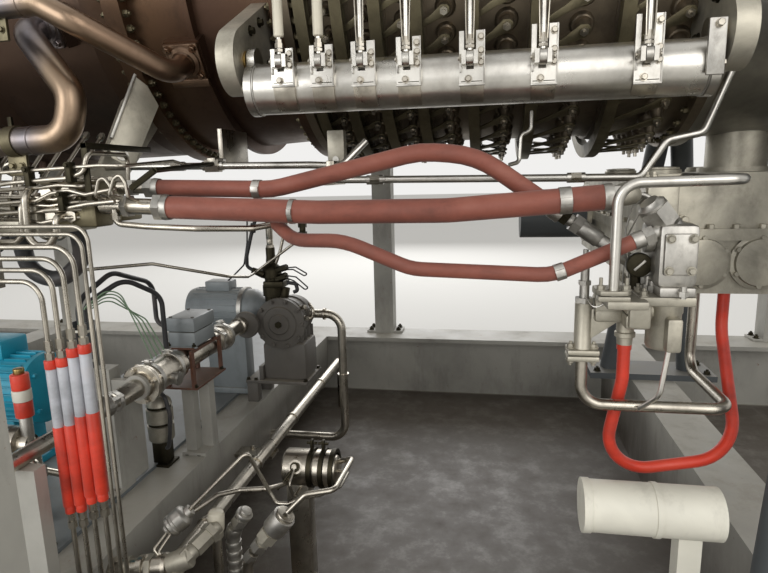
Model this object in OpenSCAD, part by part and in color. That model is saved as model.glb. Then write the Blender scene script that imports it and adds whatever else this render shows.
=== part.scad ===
// Aeroderivative gas turbine on its base frame.
// X runs along the engine towards the air inlet, Y across it, Z up.
// The origin is on the floor, under the middle of the base frame.

/* [Base] */
// Length of the base frame
base_l = 6900; // [6800:10:7600]
// Width across the outer flanges of the side beams
base_w = 2700; // [2600:10:3000]
// Height of the side beams, which is the deck level
base_h = 468; // [400:2:540]
// Width of a side beam's flanges
beam_w = 200; // [160:5:240]
// Thickness of a side beam's flanges
flange_t = 20; // [12:1:30]
// Thickness of a side beam's web
web_t = 14; // [8:1:24]
// Width of the cross members under the deck
cross_w = 160; // [120:5:220]
// Height of the floor pan above the ground
pan_z = 140; // [100:5:200]
// Thickness of the floor pan
pan_t = 8; // [5:1:14]
// Distance of the foundation bolts from the ends of the base
foot_in = 130; // [110:5:160]
// Radius of the foundation bolt holes
foot_hole_r = 17; // [10:0.5:24]

/* [Bay frame] */
// Side of the square posts
post_a = 100; // [80:5:120]
// Distance between two posts along the base
post_pitch = 1920; // [1860:10:2000]
// Height of the top rails' upper face above the ground
frame_top = 3000; // [2950:10:3200]

/* [Engine casing] */
// Height of the engine axis above the ground
axis_z = 1840; // [1800:5:1900]
// Place of the compressor's rear flange along the base
comp_x0 = 654; // [640:1:670]
// Place of the joint between rear and front compressor case
comp_x1 = 1054; // [1050:1:1060]
// Place of the compressor's front flange
comp_x2 = 1994; // [1990:1:2020]
// Outer radius of the compressor case
comp_r = 440; // [430:1:444]
// Height of a casing flange above its wall
rim_h = 36; // [24:1:40]
// Thickness of one casing flange
rim_t = 22; // [14:1:30]
// Length of the combustor case
burner_l = 700; // [640:10:760]
// Length of the gas generator's turbine case
turbine_l = 240; // [200:5:280]
// Length of the turbine mid frame
mid_l = 450; // [400:10:500]
// Length of the power turbine case
power_l = 1300; // [1200:10:1350]
// Length of the turbine rear frame
rear_l = 350; // [300:10:380]
// Length of the exhaust cone
cone_l = 900; // [800:10:920]
// Outer radius of the power turbine case at its rear end
power_r = 690; // [660:5:710]
// Outer radius of the front frame's hub
hub_r = 190; // [170:5:210]
// Length of the front frame
front_l = 350; // [320:5:380]
// Length of the inlet bellmouth
mouth_l = 300; // [260:5:340]
// Outer radius of the bellmouth's lip
mouth_r = 690; // [660:5:720]

/* [Vane gear] */
// Height of the shaft's pivot axis below the engine axis
pivot_drop = 297; // [290:1:305]
// Distance of the shaft's pivot axis from the engine axis, sideways
pivot_y = 540; // [535:1:550]
// Outer radius of the shaft's tube
tube_r = 50.5; // [45:0.5:53]
// Wall of the shaft's tube
tube_wall = 7; // [5:0.5:10]
// Distance of the tube's centre below the pivot axis
tube_drop = 58; // [54:1:62]
// Radius of the shaft's journals
journal_r = 12; // [10:0.5:14]
// Running clearance in a bearing
run_gap = 0.05; // [0.03:0.01:0.09]
// Radius of the link pins
pin_r = 5; // [4:0.5:6]
// Radial clearance of the upper link pins
loose_gap = 2; // [1.8:0.1:2.4]
// Thickness of a link's eyes along the pin
eye_t = 12; // [10:0.5:13]
// Radius of the upper link pins' circle about the engine axis
lug_r = 600; // [594:1:606]
// Inner radius of a vane ring
ring_r0 = 466; // [464:1:468]
// Outer radius of a vane ring
ring_r1 = 500; // [494:1:506]
// Width of a vane ring
ring_w = 26; // [22:1:30]
// Wall of a vane ring's channel
ring_wall = 5; // [4:0.5:7]
// Height of the case's land under a vane ring
land_h = 8; // [6:0.5:10]
// Gap between a ring's pads and the land
pad_gap = 0.3; // [0.2:0.1:0.5]

/* [Pipes and hoses] */
// Outer radius of the upper hose
hose_a_r = 17; // [14:0.5:19]
// Outer radius of the middle hose
hose_b_r = 22; // [18:0.5:24]
// Outer radius of the lower hose
hose_c_r = 13; // [10:0.5:14]
// Outer radius of the upper bleed pipe
bleed_a_r = 26; // [22:0.5:30]
// Outer radius of the lower bleed pipe
bleed_b_r = 31; // [26:0.5:34]
// Outer radius of the fuel pipe
fuel_r = 26; // [20:0.5:30]

/* [Hidden] */
$fn = 64;

// Colours
paint = [0.72, 0.73, 0.70];
dark_paint = [0.42, 0.45, 0.46];
blued = [0.42, 0.36, 0.28];
olive = [0.47, 0.44, 0.33];
bright = [0.78, 0.78, 0.76];
steel = [0.60, 0.60, 0.58];
rust_red = [0.50, 0.26, 0.20];

// Places along the base
front_x = comp_x2 + front_l;
mouth_x = front_x + mouth_l;
burner_x = comp_x0 - burner_l;
turbine_x = burner_x - turbine_l;
mid_x = turbine_x - mid_l;
power_x = mid_x - power_l;
rear_x = power_x - rear_l;
cone_x = rear_x - cone_l;
burner_r = comp_r + 25;
turbine_r = comp_r - 10;
rim_r = comp_r + rim_h;
side_y = base_w / 2 - beam_w / 2;
post_y = base_w / 2 - post_a / 2;
// Inner face of the side beams' flanges
bay_y = base_w / 2 - beam_w;
support_front_x = comp_x2 + front_l / 2;
support_rear_x = power_x - rear_l / 2;
// The open bay beside the compressor lies between these two
beam_x0 = 548;
beam_x1 = 664;
deck_x0 = -60;
deck_t = 10;
beam_h = 200;
end_x = base_l / 2 - cross_w / 2;
cross_xs = [-end_x, support_rear_x, -1000, 150, support_front_x, end_x];

// Vane gear, from the rear stage to the front stage
stage_xs = [1106, 1186, 1269, 1357, 1476, 1607, 1786];
last = len(stage_xs) - 1;
function share(i) = (stage_xs[i] - stage_xs[0]) / (stage_xs[last] - stage_xs[0]);
// Lower link pins, from the shaft's pivot axis: outwards and down
arm_out_rear = 60;
arm_out_front = 70;
arm_drop_rear = 15;
arm_drop_front = 43;
function arm_out(i) = arm_out_rear + share(i) * (arm_out_front - arm_out_rear);
function arm_drop(i) = arm_drop_rear + share(i) * (arm_drop_front - arm_drop_rear);
function low_pin(i) = [stage_xs[i], -pivot_y - arm_out(i), axis_z - pivot_drop - arm_drop(i)];
function high_pin(i) = [stage_xs[i], -lug_r, axis_z];
shaft_x0 = 1038;
shaft_x1 = 1899;
plate_t = 16;
bearing_t = 38;
bearing_gap = 10;
bearing_x0 = shaft_x0 - plate_t - bearing_gap - bearing_t;
bearing_x1 = shaft_x1 + plate_t + bearing_gap;
fork_gap = eye_t + 2;
ear_t = 8;
eye_r = pin_r + 9;
shank_r = 5.5;
land_r = comp_r + land_h;
pivot_z = axis_z - pivot_drop;
tube_z = pivot_z - tube_drop;

// Round bar from x0 to x1 along X
module xbar(r, x0, x1, y = 0, z = 0)
    translate([x0, y, z]) rotate([0, 90, 0]) cylinder(r = r, h = x1 - x0);

// Round bar from y0 to y1 along Y
module ybar(r, x, y0, y1, z)
    translate([x, y1, z]) rotate([90, 0, 0]) cylinder(r = r, h = y1 - y0);

// Round bar from z0 to z1 along Z
module zbar(r, x, y, z0, z1)
    translate([x, y, z0]) cylinder(r = r, h = z1 - z0);

// Box between two corners
module box(a, b)
    translate(a) cube(b - a);

// Solid of revolution about the engine axis, from points [radius, x]
module turned(points)
    translate([0, 0, axis_z]) rotate([0, 90, 0]) rotate_extrude() polygon(points);

// Plate in the YZ plane from x0, of thickness t, from points [y, z]
module yz_plate(x0, t, points)
    translate([x0, 0, 0]) rotate([90, 0, 90]) linear_extrude(height = t) polygon(points);

// Plate in the XZ plane from y0, of thickness t, from points [x, z]
module xz_plate(y0, t, points)
    translate([0, y0 + t, 0]) rotate([90, 0, 0]) linear_extrude(height = t) polygon(points);

// Both halves of something that is the same on the near and far side
module both_sides() {
    children();
    mirror([0, 1, 0]) children();
}

// Vectors
function unit(v) = v / norm(v);
function turn_angle(a, b) = acos(max(-1, min(1, a * b)));

// Placement whose columns are the given axes and point
function placed(x, y, z, p) = [
    [x[0], y[0], z[0], p[0]],
    [x[1], y[1], z[1], p[1]],
    [x[2], y[2], z[2], p[2]],
    [0, 0, 0, 1]
];

// Any vector square to v
function square_to(v) =
    abs(v[2]) < 0.9 ? unit(cross(v, [0, 0, 1])) : unit(cross(v, [1, 0, 0]));

// Straight round leg between two points
module leg(a, b, r) {
    d = unit(b - a);
    s = square_to(d);
    multmatrix(placed(s, cross(d, s), d, a)) cylinder(r = r, h = norm(b - a));
}

// Points along the path, with an arc of one radius at each corner
corner_step = 9;
function corner(points, radius, i) =
    i == 0 || i == len(points) - 1 ? [points[i]] :
    let(
        a = unit(points[i] - points[i - 1]),
        b = unit(points[i + 1] - points[i]),
        t = turn_angle(a, b),
        start = points[i] - a * radius * tan(t / 2),
        centre = points[i] + unit(b - a) * radius / cos(t / 2),
        steps = ceil(t / corner_step)
    )
    [for (k = [0:steps]) centre + (start - centre) * cos(t * k / steps) + a * radius * sin(t * k / steps)];
function path(points, radius) = [for (i = [0:len(points) - 1]) each corner(points, radius, i)];

function tangent(p, i) =
    i == 0 ? unit(p[1] - p[0]) :
    i == len(p) - 1 ? unit(p[i] - p[i - 1]) :
    unit(unit(p[i + 1] - p[i]) + unit(p[i] - p[i - 1]));
function level(n, t) = unit(n - t * (n * t));

// Round bar along points, with an arc of one radius at each corner
rod_sides = 16;
module rod(points, r, radius) {
    p = path(points, radius);
    n = len(p);
    t = [for (i = [0:n - 1]) tangent(p, i)];
    across = [for (i = 0, v = square_to(t[0]); i < n; i = i + 1, v = i < n ? level(v, t[i]) : v) v];
    rings = [for (i = [0:n - 1], k = [0:rod_sides - 1])
        let(w = 360 * k / rod_sides) p[i] + (across[i] * cos(w) + cross(t[i], across[i]) * sin(w)) * r];
    sides = [for (i = [0:n - 2], k = [0:rod_sides - 1])
        let(a = i * rod_sides + k, b = i * rod_sides + (k + 1) % rod_sides)
        each [[a, a + rod_sides, b + rod_sides], [a, b + rod_sides, b]]];
    start_cap = [for (k = [0:rod_sides - 1]) k];
    end_cap = [for (k = [rod_sides - 1:-1:0]) (n - 1) * rod_sides + k];
    polyhedron(rings, concat([start_cap], sides, [end_cap]));
}

// Round bar bent square, from legs that run along the axes only
module square_rod(points, r, radius) {
    n = len(points);
    for (i = [0:n - 2]) {
        d = unit(points[i + 1] - points[i]);
        leg(points[i] + d * (i == 0 ? 0 : radius), points[i + 1] - d * (i == n - 2 ? 0 : radius), r);
    }
    for (i = [1:n - 2]) {
        a = unit(points[i] - points[i - 1]);
        b = unit(points[i + 1] - points[i]);
        multmatrix(placed(-b, a, cross(a, b), points[i] + (b - a) * radius))
            rotate_extrude(angle = 90) translate([radius, 0]) circle(r = r);
    }
}

// Base frame: side beams, cross members and floor pan
module side_beam() {
    h = base_h;
    w = beam_w / 2;
    translate([-base_l / 2, side_y, 0]) rotate([90, 0, 90]) linear_extrude(height = base_l)
        polygon([
            [-w, 0], [w, 0], [w, flange_t], [web_t / 2, flange_t],
            [web_t / 2, h - flange_t], [w, h - flange_t], [w, h],
            [-w, h], [-w, h - flange_t], [-web_t / 2, h - flange_t],
            [-web_t / 2, flange_t], [-w, flange_t]
        ]);
}

module base_frame() color(paint) difference() {
    union() {
        both_sides() side_beam();
        for (x = cross_xs)
            box([x - cross_w / 2, -side_y, pan_z], [x + cross_w / 2, side_y, base_h]);
        box([-end_x, -side_y, pan_z], [end_x, side_y, pan_z + pan_t]);
    }
    for (x = [-1, 1])
        for (y = [-1, 1])
            translate([x * (base_l / 2 - foot_in), y * (base_w / 2 - beam_w / 5), -1])
                cylinder(r = foot_hole_r, h = flange_t + 2);
}

// The transverse beam of the photographed bay
module cross_beam() color(paint) {
    box([beam_x0, -bay_y, base_h - beam_h], [beam_x1, bay_y, base_h]);
}

module deck_plate() color(dark_paint) {
    box([deck_x0, -bay_y, base_h], [beam_x0, bay_y, base_h + deck_t]);
}

// Posts and top rail of one side
module bay_side() {
    top_h = post_a + 20;
    for (i = [-1.5, -0.5, 0.5, 1.5])
        box([i * post_pitch - post_a / 2, post_y - post_a / 2, base_h],
            [i * post_pitch + post_a / 2, post_y + post_a / 2, frame_top - top_h]);
    box([-1.5 * post_pitch - post_a / 2, post_y - post_a / 2, frame_top - top_h],
        [1.5 * post_pitch + post_a / 2, post_y + post_a / 2, frame_top]);
}

module bay_frame_near() color(paint) mirror([0, 1, 0]) bay_side();

module bay_frame_far() color(paint) bay_side();

module bay_cross_ties() color(paint)
    for (i = [-1.5, -0.5, 0.5, 1.5])
        box([i * post_pitch - post_a / 2, -post_y + post_a / 2, frame_top - post_a],
            [i * post_pitch + post_a / 2, post_y - post_a / 2, frame_top]);

// One side of an engine support: two sloping legs, a foot and a head
module support_side(x, foot_y, head_y, head_z, spread) {
    leg_r = 38;
    foot_t = 24;
    box([x - spread - 90, foot_y - 90, base_h], [x + spread + 90, foot_y + 90, base_h + foot_t]);
    for (s = [-1, 1])
        leg([x + s * spread, foot_y, base_h + foot_t], [x, head_y, head_z - 40], leg_r);
    box([x - 70, head_y - 50, head_z - 70], [x + 70, head_y + 50, head_z + 30]);
}

module front_support() color(dark_paint)
    both_sides() support_side(support_front_x, 720, comp_r + 130, axis_z - 60, 150);

module rear_support() color(dark_paint)
    both_sides() support_side(support_rear_x, 820, power_r + 60, axis_z - 60, 150);

// Inlet
mouth_wall = 12;
mouth_steps = 10;
mouth_in = comp_r + 10;
module inlet_bellmouth() color(bright) {
    rise = mouth_r - mouth_in - mouth_wall;
    outer = [for (k = [0:mouth_steps]) let(t = 90 * k / mouth_steps)
        [mouth_r - rise * cos(t), front_x + mouth_l * sin(t)]];
    inner = [for (k = [mouth_steps:-1:0]) let(t = 90 * k / mouth_steps)
        [mouth_r - mouth_wall - rise * cos(t), front_x + mouth_l * sin(t)]];
    turned(concat(outer, inner));
    turned([[mouth_in, front_x], [rim_r, front_x], [rim_r, front_x + rim_t], [mouth_in, front_x + rim_t]]);
}

module inlet_centre_body() color(bright) {
    nose_l = mouth_l + 130;
    nose = [for (k = [0:12]) let(t = 90 * k / 12) [hub_r * cos(t), front_x + nose_l * sin(t)]];
    turned(concat([[0, front_x]], nose));
}

module front_frame() color(bright) {
    turned([
        [comp_r - 10, comp_x2], [rim_r, comp_x2], [rim_r, comp_x2 + rim_t],
        [comp_r + 12, comp_x2 + rim_t], [comp_r + 12, front_x - rim_t],
        [rim_r, front_x - rim_t], [rim_r, front_x], [comp_r - 10, front_x]
    ]);
    turned([[0, comp_x2], [hub_r, comp_x2], [hub_r, front_x], [0, front_x]]);
    for (k = [0:4])
        translate([0, 0, axis_z]) rotate([72 * k, 0, 0])
            box([comp_x2 + 60, -16, hub_r - 5], [front_x - 60, 16, comp_r - 5]);
    both_sides()
        box([support_front_x - 60, comp_r + 5, axis_z - 60], [support_front_x + 60, comp_r + 80, axis_z + 20]);
}

// Compressor
module compressor_front_case() color(olive) {
    turned([
        [0, comp_x1], [rim_r, comp_x1], [rim_r, comp_x1 + rim_t], [comp_r, comp_x1 + rim_t],
        [comp_r, comp_x2 - rim_t], [rim_r, comp_x2 - rim_t], [rim_r, comp_x2], [0, comp_x2]
    ]);
    for (x = stage_xs)
        turned([
            [comp_r - 5, x - ring_w / 2 - 2], [land_r, x - ring_w / 2 - 2],
            [land_r, x + ring_w / 2 + 2], [comp_r - 5, x + ring_w / 2 + 2]
        ]);
    both_sides()
        box([comp_x1 + rim_t / 2, comp_r - 20, axis_z - 26], [comp_x2 - rim_t / 2, comp_r + 20, axis_z + 26]);
}

step_x = comp_x0 + 180;
// Radius of the case under the rear bearing bracket
seat_r = comp_r - 12;
module compressor_rear_case() color(blued) {
    turned([
        [0, comp_x0], [rim_r + 2, comp_x0], [rim_r + 2, comp_x0 + rim_t], [comp_r + 4, comp_x0 + rim_t],
        [comp_r + 4, step_x - 16], [comp_r + 22, step_x - 16], [comp_r + 22, step_x],
        [comp_r - 4, step_x], [seat_r, comp_x1 - 90], [seat_r, comp_x1 - rim_t - 14], [comp_r, comp_x1 - rim_t],
        [rim_r, comp_x1 - rim_t], [rim_r, comp_x1], [0, comp_x1]
    ]);
    both_sides()
        box([comp_x0 + rim_t / 2, comp_r - 30, axis_z - 26], [comp_x1 - rim_t / 2, comp_r + 14, axis_z + 26]);
    bleed_pad();
}

// Square pad where the upper bleed pipe leaves the case
pad_angle = 33;
pad_x = 800;
pad_face_r = comp_r + 30;
pad_dir = [0, -cos(pad_angle), -sin(pad_angle)];
module bleed_pad()
    translate([pad_x, 0, axis_z]) rotate([pad_angle, 0, 0])
        box([-45, -pad_face_r, -45], [45, -comp_r + 20, 45]);

module combustor_case() color(blued) {
    x0 = burner_x;
    x1 = comp_x0;
    turned([
        [0, x0], [burner_r + 20, x0], [burner_r + 20, x0 + rim_t], [burner_r - 10, x0 + rim_t],
        [burner_r, x0 + 160], [burner_r + 34, x0 + 190], [burner_r + 34, x0 + 260],
        [burner_r, x0 + 290], [burner_r - 8, x1 - 90], [comp_r - 6, x1 - rim_t],
        [rim_r + 2, x1 - rim_t], [rim_r + 2, x1], [0, x1]
    ]);
    for (k = [0:29])
        translate([0, 0, axis_z]) rotate([12 * k + 6, 0, 0])
            zbar(17, x0 + 225, 0, burner_r, burner_r + 62);
    translate([burner_pad_x, 0, axis_z]) rotate([burner_pad_angle, 0, 0])
        box([-48, -burner_pad_r, -48], [48, -comp_r + 20, 48]);
}

module turbine_case() color(blued) {
    x0 = turbine_x;
    x1 = burner_x;
    turned([
        [0, x0], [turbine_r + 24, x0], [turbine_r + 24, x0 + rim_t], [turbine_r, x0 + rim_t],
        [turbine_r, x0 + 90], [turbine_r + 14, x0 + 100], [turbine_r + 14, x0 + 140], [turbine_r, x0 + 150],
        [turbine_r, x1 - rim_t], [burner_r + 20, x1 - rim_t], [burner_r + 20, x1], [0, x1]
    ]);
}

power_r0 = comp_r + 120;
module turbine_mid_frame() color(blued) {
    x0 = mid_x;
    x1 = turbine_x;
    turned([
        [0, x0], [power_r0 + 24, x0], [power_r0 + 24, x0 + rim_t], [power_r0 - 6, x0 + rim_t],
        [turbine_r + 20, x1 - 90], [turbine_r, x1 - rim_t],
        [turbine_r + 24, x1 - rim_t], [turbine_r + 24, x1], [0, x1]
    ]);
    for (k = [0:7])
        translate([0, 0, axis_z]) rotate([45 * k + 22.5, 0, 0])
            zbar(46, x0 + 150, 0, turbine_r, power_r0 + 36);
}

power_rows = 6;
function power_wall_r(x) = power_r0 + (power_r - power_r0) * (mid_x - x) / power_l;
module power_turbine_case() color(blued) {
    x0 = power_x;
    x1 = mid_x;
    step = (power_l - 2 * rim_t) / power_rows;
    turned([
        [0, x0], [power_r + 24, x0], [power_r + 24, x0 + rim_t], [power_r, x0 + rim_t],
        [power_r0, x1 - rim_t], [power_r0 + 24, x1 - rim_t], [power_r0 + 24, x1], [0, x1]
    ]);
    for (k = [1:power_rows - 1]) {
        x = x0 + rim_t + k * step;
        turned([[400, x - 8], [power_wall_r(x) + 18, x - 8], [power_wall_r(x) + 18, x + 8], [400, x + 8]]);
    }
}

module turbine_rear_frame() color(blued) {
    wall = 40;
    core_r = 300;
    turned([
        [power_r - wall, rear_x], [power_r + 24, rear_x], [power_r + 24, rear_x + rim_t],
        [power_r, rear_x + rim_t], [power_r, power_x - rim_t], [power_r + 24, power_x - rim_t],
        [power_r + 24, power_x], [power_r - wall, power_x]
    ]);
    turned([[0, rear_x], [core_r, rear_x], [core_r, power_x], [0, power_x]]);
    for (k = [0:7])
        translate([0, 0, axis_z]) rotate([45 * k, 0, 0])
            box([rear_x + 60, -18, core_r - 5], [power_x - 60, 18, power_r - wall / 2]);
    both_sides()
        box([support_rear_x - 60, power_r - 10, axis_z - 60], [support_rear_x + 60, power_r + 10, axis_z + 20]);
}

cone_tip_r = 175;
module exhaust_cone() color(steel)
    turned([[0, cone_x], [cone_tip_r, cone_x], [290, rear_x], [0, rear_x]]);

coupling_holes = 12;
coupling_pcd = 250;
coupling_hole_r = 9;
coupling_t = 30;
module output_shaft() color(bright) difference() {
    union() {
        turned([
            [0, cone_x - 100], [150, cone_x - 100], [150, cone_x - 100 + coupling_t],
            [90, cone_x - 100 + coupling_t], [90, cone_x], [0, cone_x]
        ]);
    }
    for (k = [0:coupling_holes - 1])
        translate([cone_x - 101, 0, axis_z]) rotate([k * 360 / coupling_holes, 0, 0])
            translate([0, 0, coupling_pcd / 2]) rotate([0, 90, 0])
                cylinder(r = coupling_hole_r, h = coupling_t + 2);
}

// Accessory gearbox below the front frame, with its drive column
gearbox_x0 = 1846;
gearbox_x1 = 2280;
gearbox_y = 450;
gearbox_top = axis_z - 548;
gearbox_h = 250;
module accessory_gearbox() color(steel) {
    box([gearbox_x0, -gearbox_y, gearbox_top - gearbox_h], [gearbox_x1, gearbox_y, gearbox_top]);
    box([gearbox_x0 - 12, -gearbox_y - 12, gearbox_top - gearbox_h / 2 - 12],
        [gearbox_x1 + 12, gearbox_y + 12, gearbox_top - gearbox_h / 2 + 12]);
    difference() {
        zbar(75, support_front_x, 0, gearbox_top - 10, axis_z - comp_r);
        translate([comp_x2 - 20, 0, axis_z]) rotate([0, 90, 0]) cylinder(r = comp_r + 12, h = front_l + 40);
    }
}

module starter_and_pumps() color(dark_paint) {
    z = gearbox_top - gearbox_h / 2;
    xbar(105, gearbox_x1 + 12, gearbox_x1 + 230, 0, z);
    xbar(70, gearbox_x1 + 12, gearbox_x1 + 210, -260, z);
    xbar(80, gearbox_x0 - 230, gearbox_x0 - 12, 270, z);
}

// Bearing brackets that carry the vane shaft on the case
bracket_r = 68;
module bearing_bracket(x0, root_r) {
    a = atan2(pivot_drop, pivot_y);
    reach = norm([pivot_drop, pivot_y]);
    translate([x0, 0, axis_z]) rotate([a, 0, 0]) difference() {
        union() {
            box([0, -reach, -bracket_r], [bearing_t, -root_r + 20, bracket_r]);
            translate([0, -reach, 0]) rotate([0, 90, 0]) cylinder(r = bracket_r, h = bearing_t);
        }
        translate([-1, -reach, 0]) rotate([0, 90, 0])
            cylinder(r = journal_r + run_gap, h = bearing_t + 2);
        translate([-1, 0, 0]) rotate([0, 90, 0]) cylinder(r = root_r + 0.3, h = bearing_t + 2);
    }
}

module shaft_bearing_brackets() color(paint) {
    bearing_bracket(bearing_x0, seat_r);
    bearing_bracket(bearing_x1, comp_r);
}

// Vane shaft: eccentric tube, end plates, journals and link brackets
module end_plate(x0) {
    side = 0.9;
    yz_plate(x0, plate_t, [
        [-pivot_y - tube_r * side, tube_z], [-pivot_y + tube_r * side, tube_z],
        [-pivot_y + 24 * side, pivot_z], [-pivot_y - 24 * side, pivot_z]
    ]);
    xbar(tube_r + 3, x0, x0 + plate_t, -pivot_y, tube_z);
    xbar(26, x0, x0 + plate_t, -pivot_y, pivot_z);
}

// Bracket of stage i: a bolted plate on the tube's front, two ears and the pin
bolt_plate_t = 8;
bolt_plate_left = 20;
bolt_plate_right = 27;
bolt_plate_below = 48;
ear_r = 12;
rod_slot = shank_r + 5.5;
function bolt_plate_above(i) = 24 + 46 * share(i);
module link_bracket(i) {
    p = low_pin(i);
    half = fork_gap / 2 + ear_t;
    back_y = -pivot_y - tube_r;
    left = p[0] - bolt_plate_left;
    right = p[0] + bolt_plate_right;
    bottom = p[2] - bolt_plate_below;
    top = p[2] + bolt_plate_above(i);
    difference() {
        union() {
            box([left, back_y - bolt_plate_t, bottom], [right, back_y, top]);
            box([left + 4, back_y, bottom + 6], [right - 4, back_y + tube_r / 2, p[2] + 2]);
            box([p[0] - half, p[1] - ear_r, p[2] - ear_r], [p[0] + half, back_y, p[2] + ear_r]);
            xbar(ear_r, p[0] - half, p[0] + half, p[1], p[2]);
        }
        box([p[0] - fork_gap / 2, p[1] - ear_r - 1, p[2] - eye_r - 5],
            [p[0] + fork_gap / 2, p[1] + eye_r + 5, top + 1]);
        box([p[0] - rod_slot, p[1] - ear_r - 1, p[2] + eye_r],
            [p[0] + rod_slot, back_y + tube_r, top + 1]);
        xbar(tube_r - tube_wall / 2, p[0] - tube_r, p[0] + tube_r, -pivot_y, tube_z);
    }
    xbar(pin_r, p[0] - half + 1, p[0] + half - 1, p[1], p[2]);
}

module vane_shaft() color(bright) {
    difference() {
        xbar(tube_r, shaft_x0, shaft_x1, -pivot_y, tube_z);
        xbar(tube_r - tube_wall, shaft_x0 - 1, shaft_x1 + 1, -pivot_y, tube_z);
    }
    end_plate(shaft_x0 - plate_t);
    end_plate(shaft_x1);
    xbar(journal_r, bearing_x0, shaft_x0 - plate_t, -pivot_y, pivot_z);
    xbar(journal_r, shaft_x1 + plate_t, bearing_x1 + bearing_t, -pivot_y, pivot_z);
    for (i = [0:last])
        link_bracket(i);
}

// Link of stage i: an eye at each end of a round shank with lock nuts
module vane_link(i) color(steel) {
    a = low_pin(i);
    b = high_pin(i);
    d = unit(b - a);
    difference() {
        union() {
            xbar(eye_r, a[0] - eye_t / 2, a[0] + eye_t / 2, a[1], a[2]);
            xbar(eye_r + 2, b[0] - eye_t / 2, b[0] + eye_t / 2, b[1], b[2]);
            leg(a + d * (pin_r + 3), b - d * (pin_r + loose_gap + 3), shank_r);
        }
        xbar(pin_r + run_gap, a[0] - eye_t, a[0] + eye_t, a[1], a[2]);
        xbar(pin_r + loose_gap, b[0] - eye_t, b[0] + eye_t, b[1], b[2]);
    }
}

// Vane ring of stage i: a channel open to the front, pads and a forked lug
pad_count = 8;
module vane_ring(i) color(olive) {
    x = stage_xs[i];
    half = ring_w / 2;
    p = high_pin(i);
    turned([
        [ring_r0, x - half], [ring_r1, x - half], [ring_r1, x + half], [ring_r1 - ring_wall, x + half],
        [ring_r1 - ring_wall, x - half + ring_wall], [ring_r0 + ring_wall, x - half + ring_wall],
        [ring_r0 + ring_wall, x + half], [ring_r0, x + half]
    ]);
    for (k = [0:pad_count - 1])
        translate([0, 0, axis_z]) rotate([(k + 0.5) * 360 / pad_count, 0, 0]) rotate([0, 90, 0])
            translate([0, 0, x - half + 3]) rotate_extrude(angle = 3)
                polygon([[land_r + pad_gap, 0], [ring_r0 + 2, 0], [ring_r0 + 2, 16], [land_r + pad_gap, 16]]);
    for (s = [-1, 1])
        translate([s * (fork_gap + ear_t) / 2, 0, 0]) {
            box([x - ear_t / 2, -lug_r, axis_z - 12], [x + ear_t / 2, -ring_r1 + 3, axis_z + 12]);
            xbar(12, x - ear_t / 2, x + ear_t / 2, p[1], p[2]);
        }
    xbar(pin_r, x - fork_gap / 2 - 2, x + fork_gap / 2 + 2, p[1], p[2]);
}

// Bleed pipes, from the compressor case to pads of the turbine mid frame
mid_pad_x = mid_x + 150;
mid_pad_r = power_r0 + 36;
function mid_pad(angle, r) = [mid_pad_x, -r * sin(angle), axis_z + r * cos(angle)];
bleed_a_pts = [
    [pad_x, 0, axis_z] + pad_dir * pad_face_r,
    [pad_x, 0, axis_z] + pad_dir * (pad_face_r + 80),
    [669, -610, 1628],
    [592, -612, 1671],
    [300, -612, 1664],
    mid_pad(112.5, mid_pad_r + 90),
    mid_pad(112.5, mid_pad_r)
];
module bleed_pipe_upper() color(steel) {
    rod(bleed_a_pts, bleed_a_r, 55);
    translate([pad_x, 0, axis_z]) rotate([pad_angle, 0, 0])
        box([-43, -pad_face_r - 14, -43], [43, -pad_face_r, 43]);
}

burner_pad_angle = 21;
burner_pad_x = 480;
burner_pad_r = burner_r + 30;
burner_pad_dir = [0, -cos(burner_pad_angle), -sin(burner_pad_angle)];
bleed_b_pts = [
    [burner_pad_x, 0, axis_z] + burner_pad_dir * burner_pad_r,
    [burner_pad_x, 0, axis_z] + burner_pad_dir * (burner_pad_r + 62),
    [622, -575, 1490],
    [600, -580, 1400],
    [430, -580, 1396],
    [-380, -520, 1290],
    mid_pad(157.5, mid_pad_r + 110),
    mid_pad(157.5, mid_pad_r)
];
module bleed_pipe_lower() color(steel) rod(bleed_b_pts, bleed_b_r, 58);

// Hoses
hose_a_pts = [[836, -640, 1289], [1090, -640, 1281], [1385, -640, 1345], [1490, -640, 1335], [1627, -640, 1238]];
hose_b_pts = [[890, -700, 1252], [1200, -700, 1238], [1440, -700, 1238], [1708, -700, 1257]];
hose_c_pts = [
    [836, -600, 1250], [1040, -605, 1248], [1150, -700, 1186], [1260, -750, 1190],
    [1380, -750, 1140], [1620, -750, 1130], [1760, -740, 1190]
];
module hose_upper() color(rust_red) rod(hose_a_pts, hose_a_r, 180);
module hose_middle() color(rust_red) rod(hose_b_pts, hose_b_r, 400);
module hose_lower() color(rust_red) rod(hose_c_pts, hose_c_r, 110);

// Ferrules that run on straight from a hose's two ends
module rear_ferrule(p, r) leg(p[0] - unit(p[1] - p[0]) * (p[0][0] - manifold_x1 + 6), p[0], r);
module front_ferrule(p, r, reach) {
    n = len(p) - 1;
    leg(p[n], p[n] + unit(p[n] - p[n - 1]) * reach, r);
}

// Block, nipples and hanger at the rear ends of the hoses
manifold_x1 = 780;
hanger_t = 12;
hanger_x = comp_x0 - rim_t - hanger_t;
module hose_manifold() color(steel) {
    yz_plate(hanger_x, hanger_t, [
        [-250, axis_z - 385], [-330, axis_z - 300], [-400, axis_z - 340], [-520, axis_z - 500],
        [-735, axis_z - 570], [-735, axis_z - 640], [-560, axis_z - 640]
    ]);
    box([hanger_x + hanger_t, -730, 1215], [manifold_x1, -570, 1306]);
    box([rack_x, -735, 1205], [hanger_x, -710, 1230]);
    box([rack_x - 12, -830, 1090], [rack_x, -705, 1235]);
    rear_ferrule(hose_a_pts, hose_a_r - 3);
    rear_ferrule(hose_b_pts, hose_b_r - 2);
    rear_ferrule(hose_c_pts, hose_c_r - 2);
}

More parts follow.
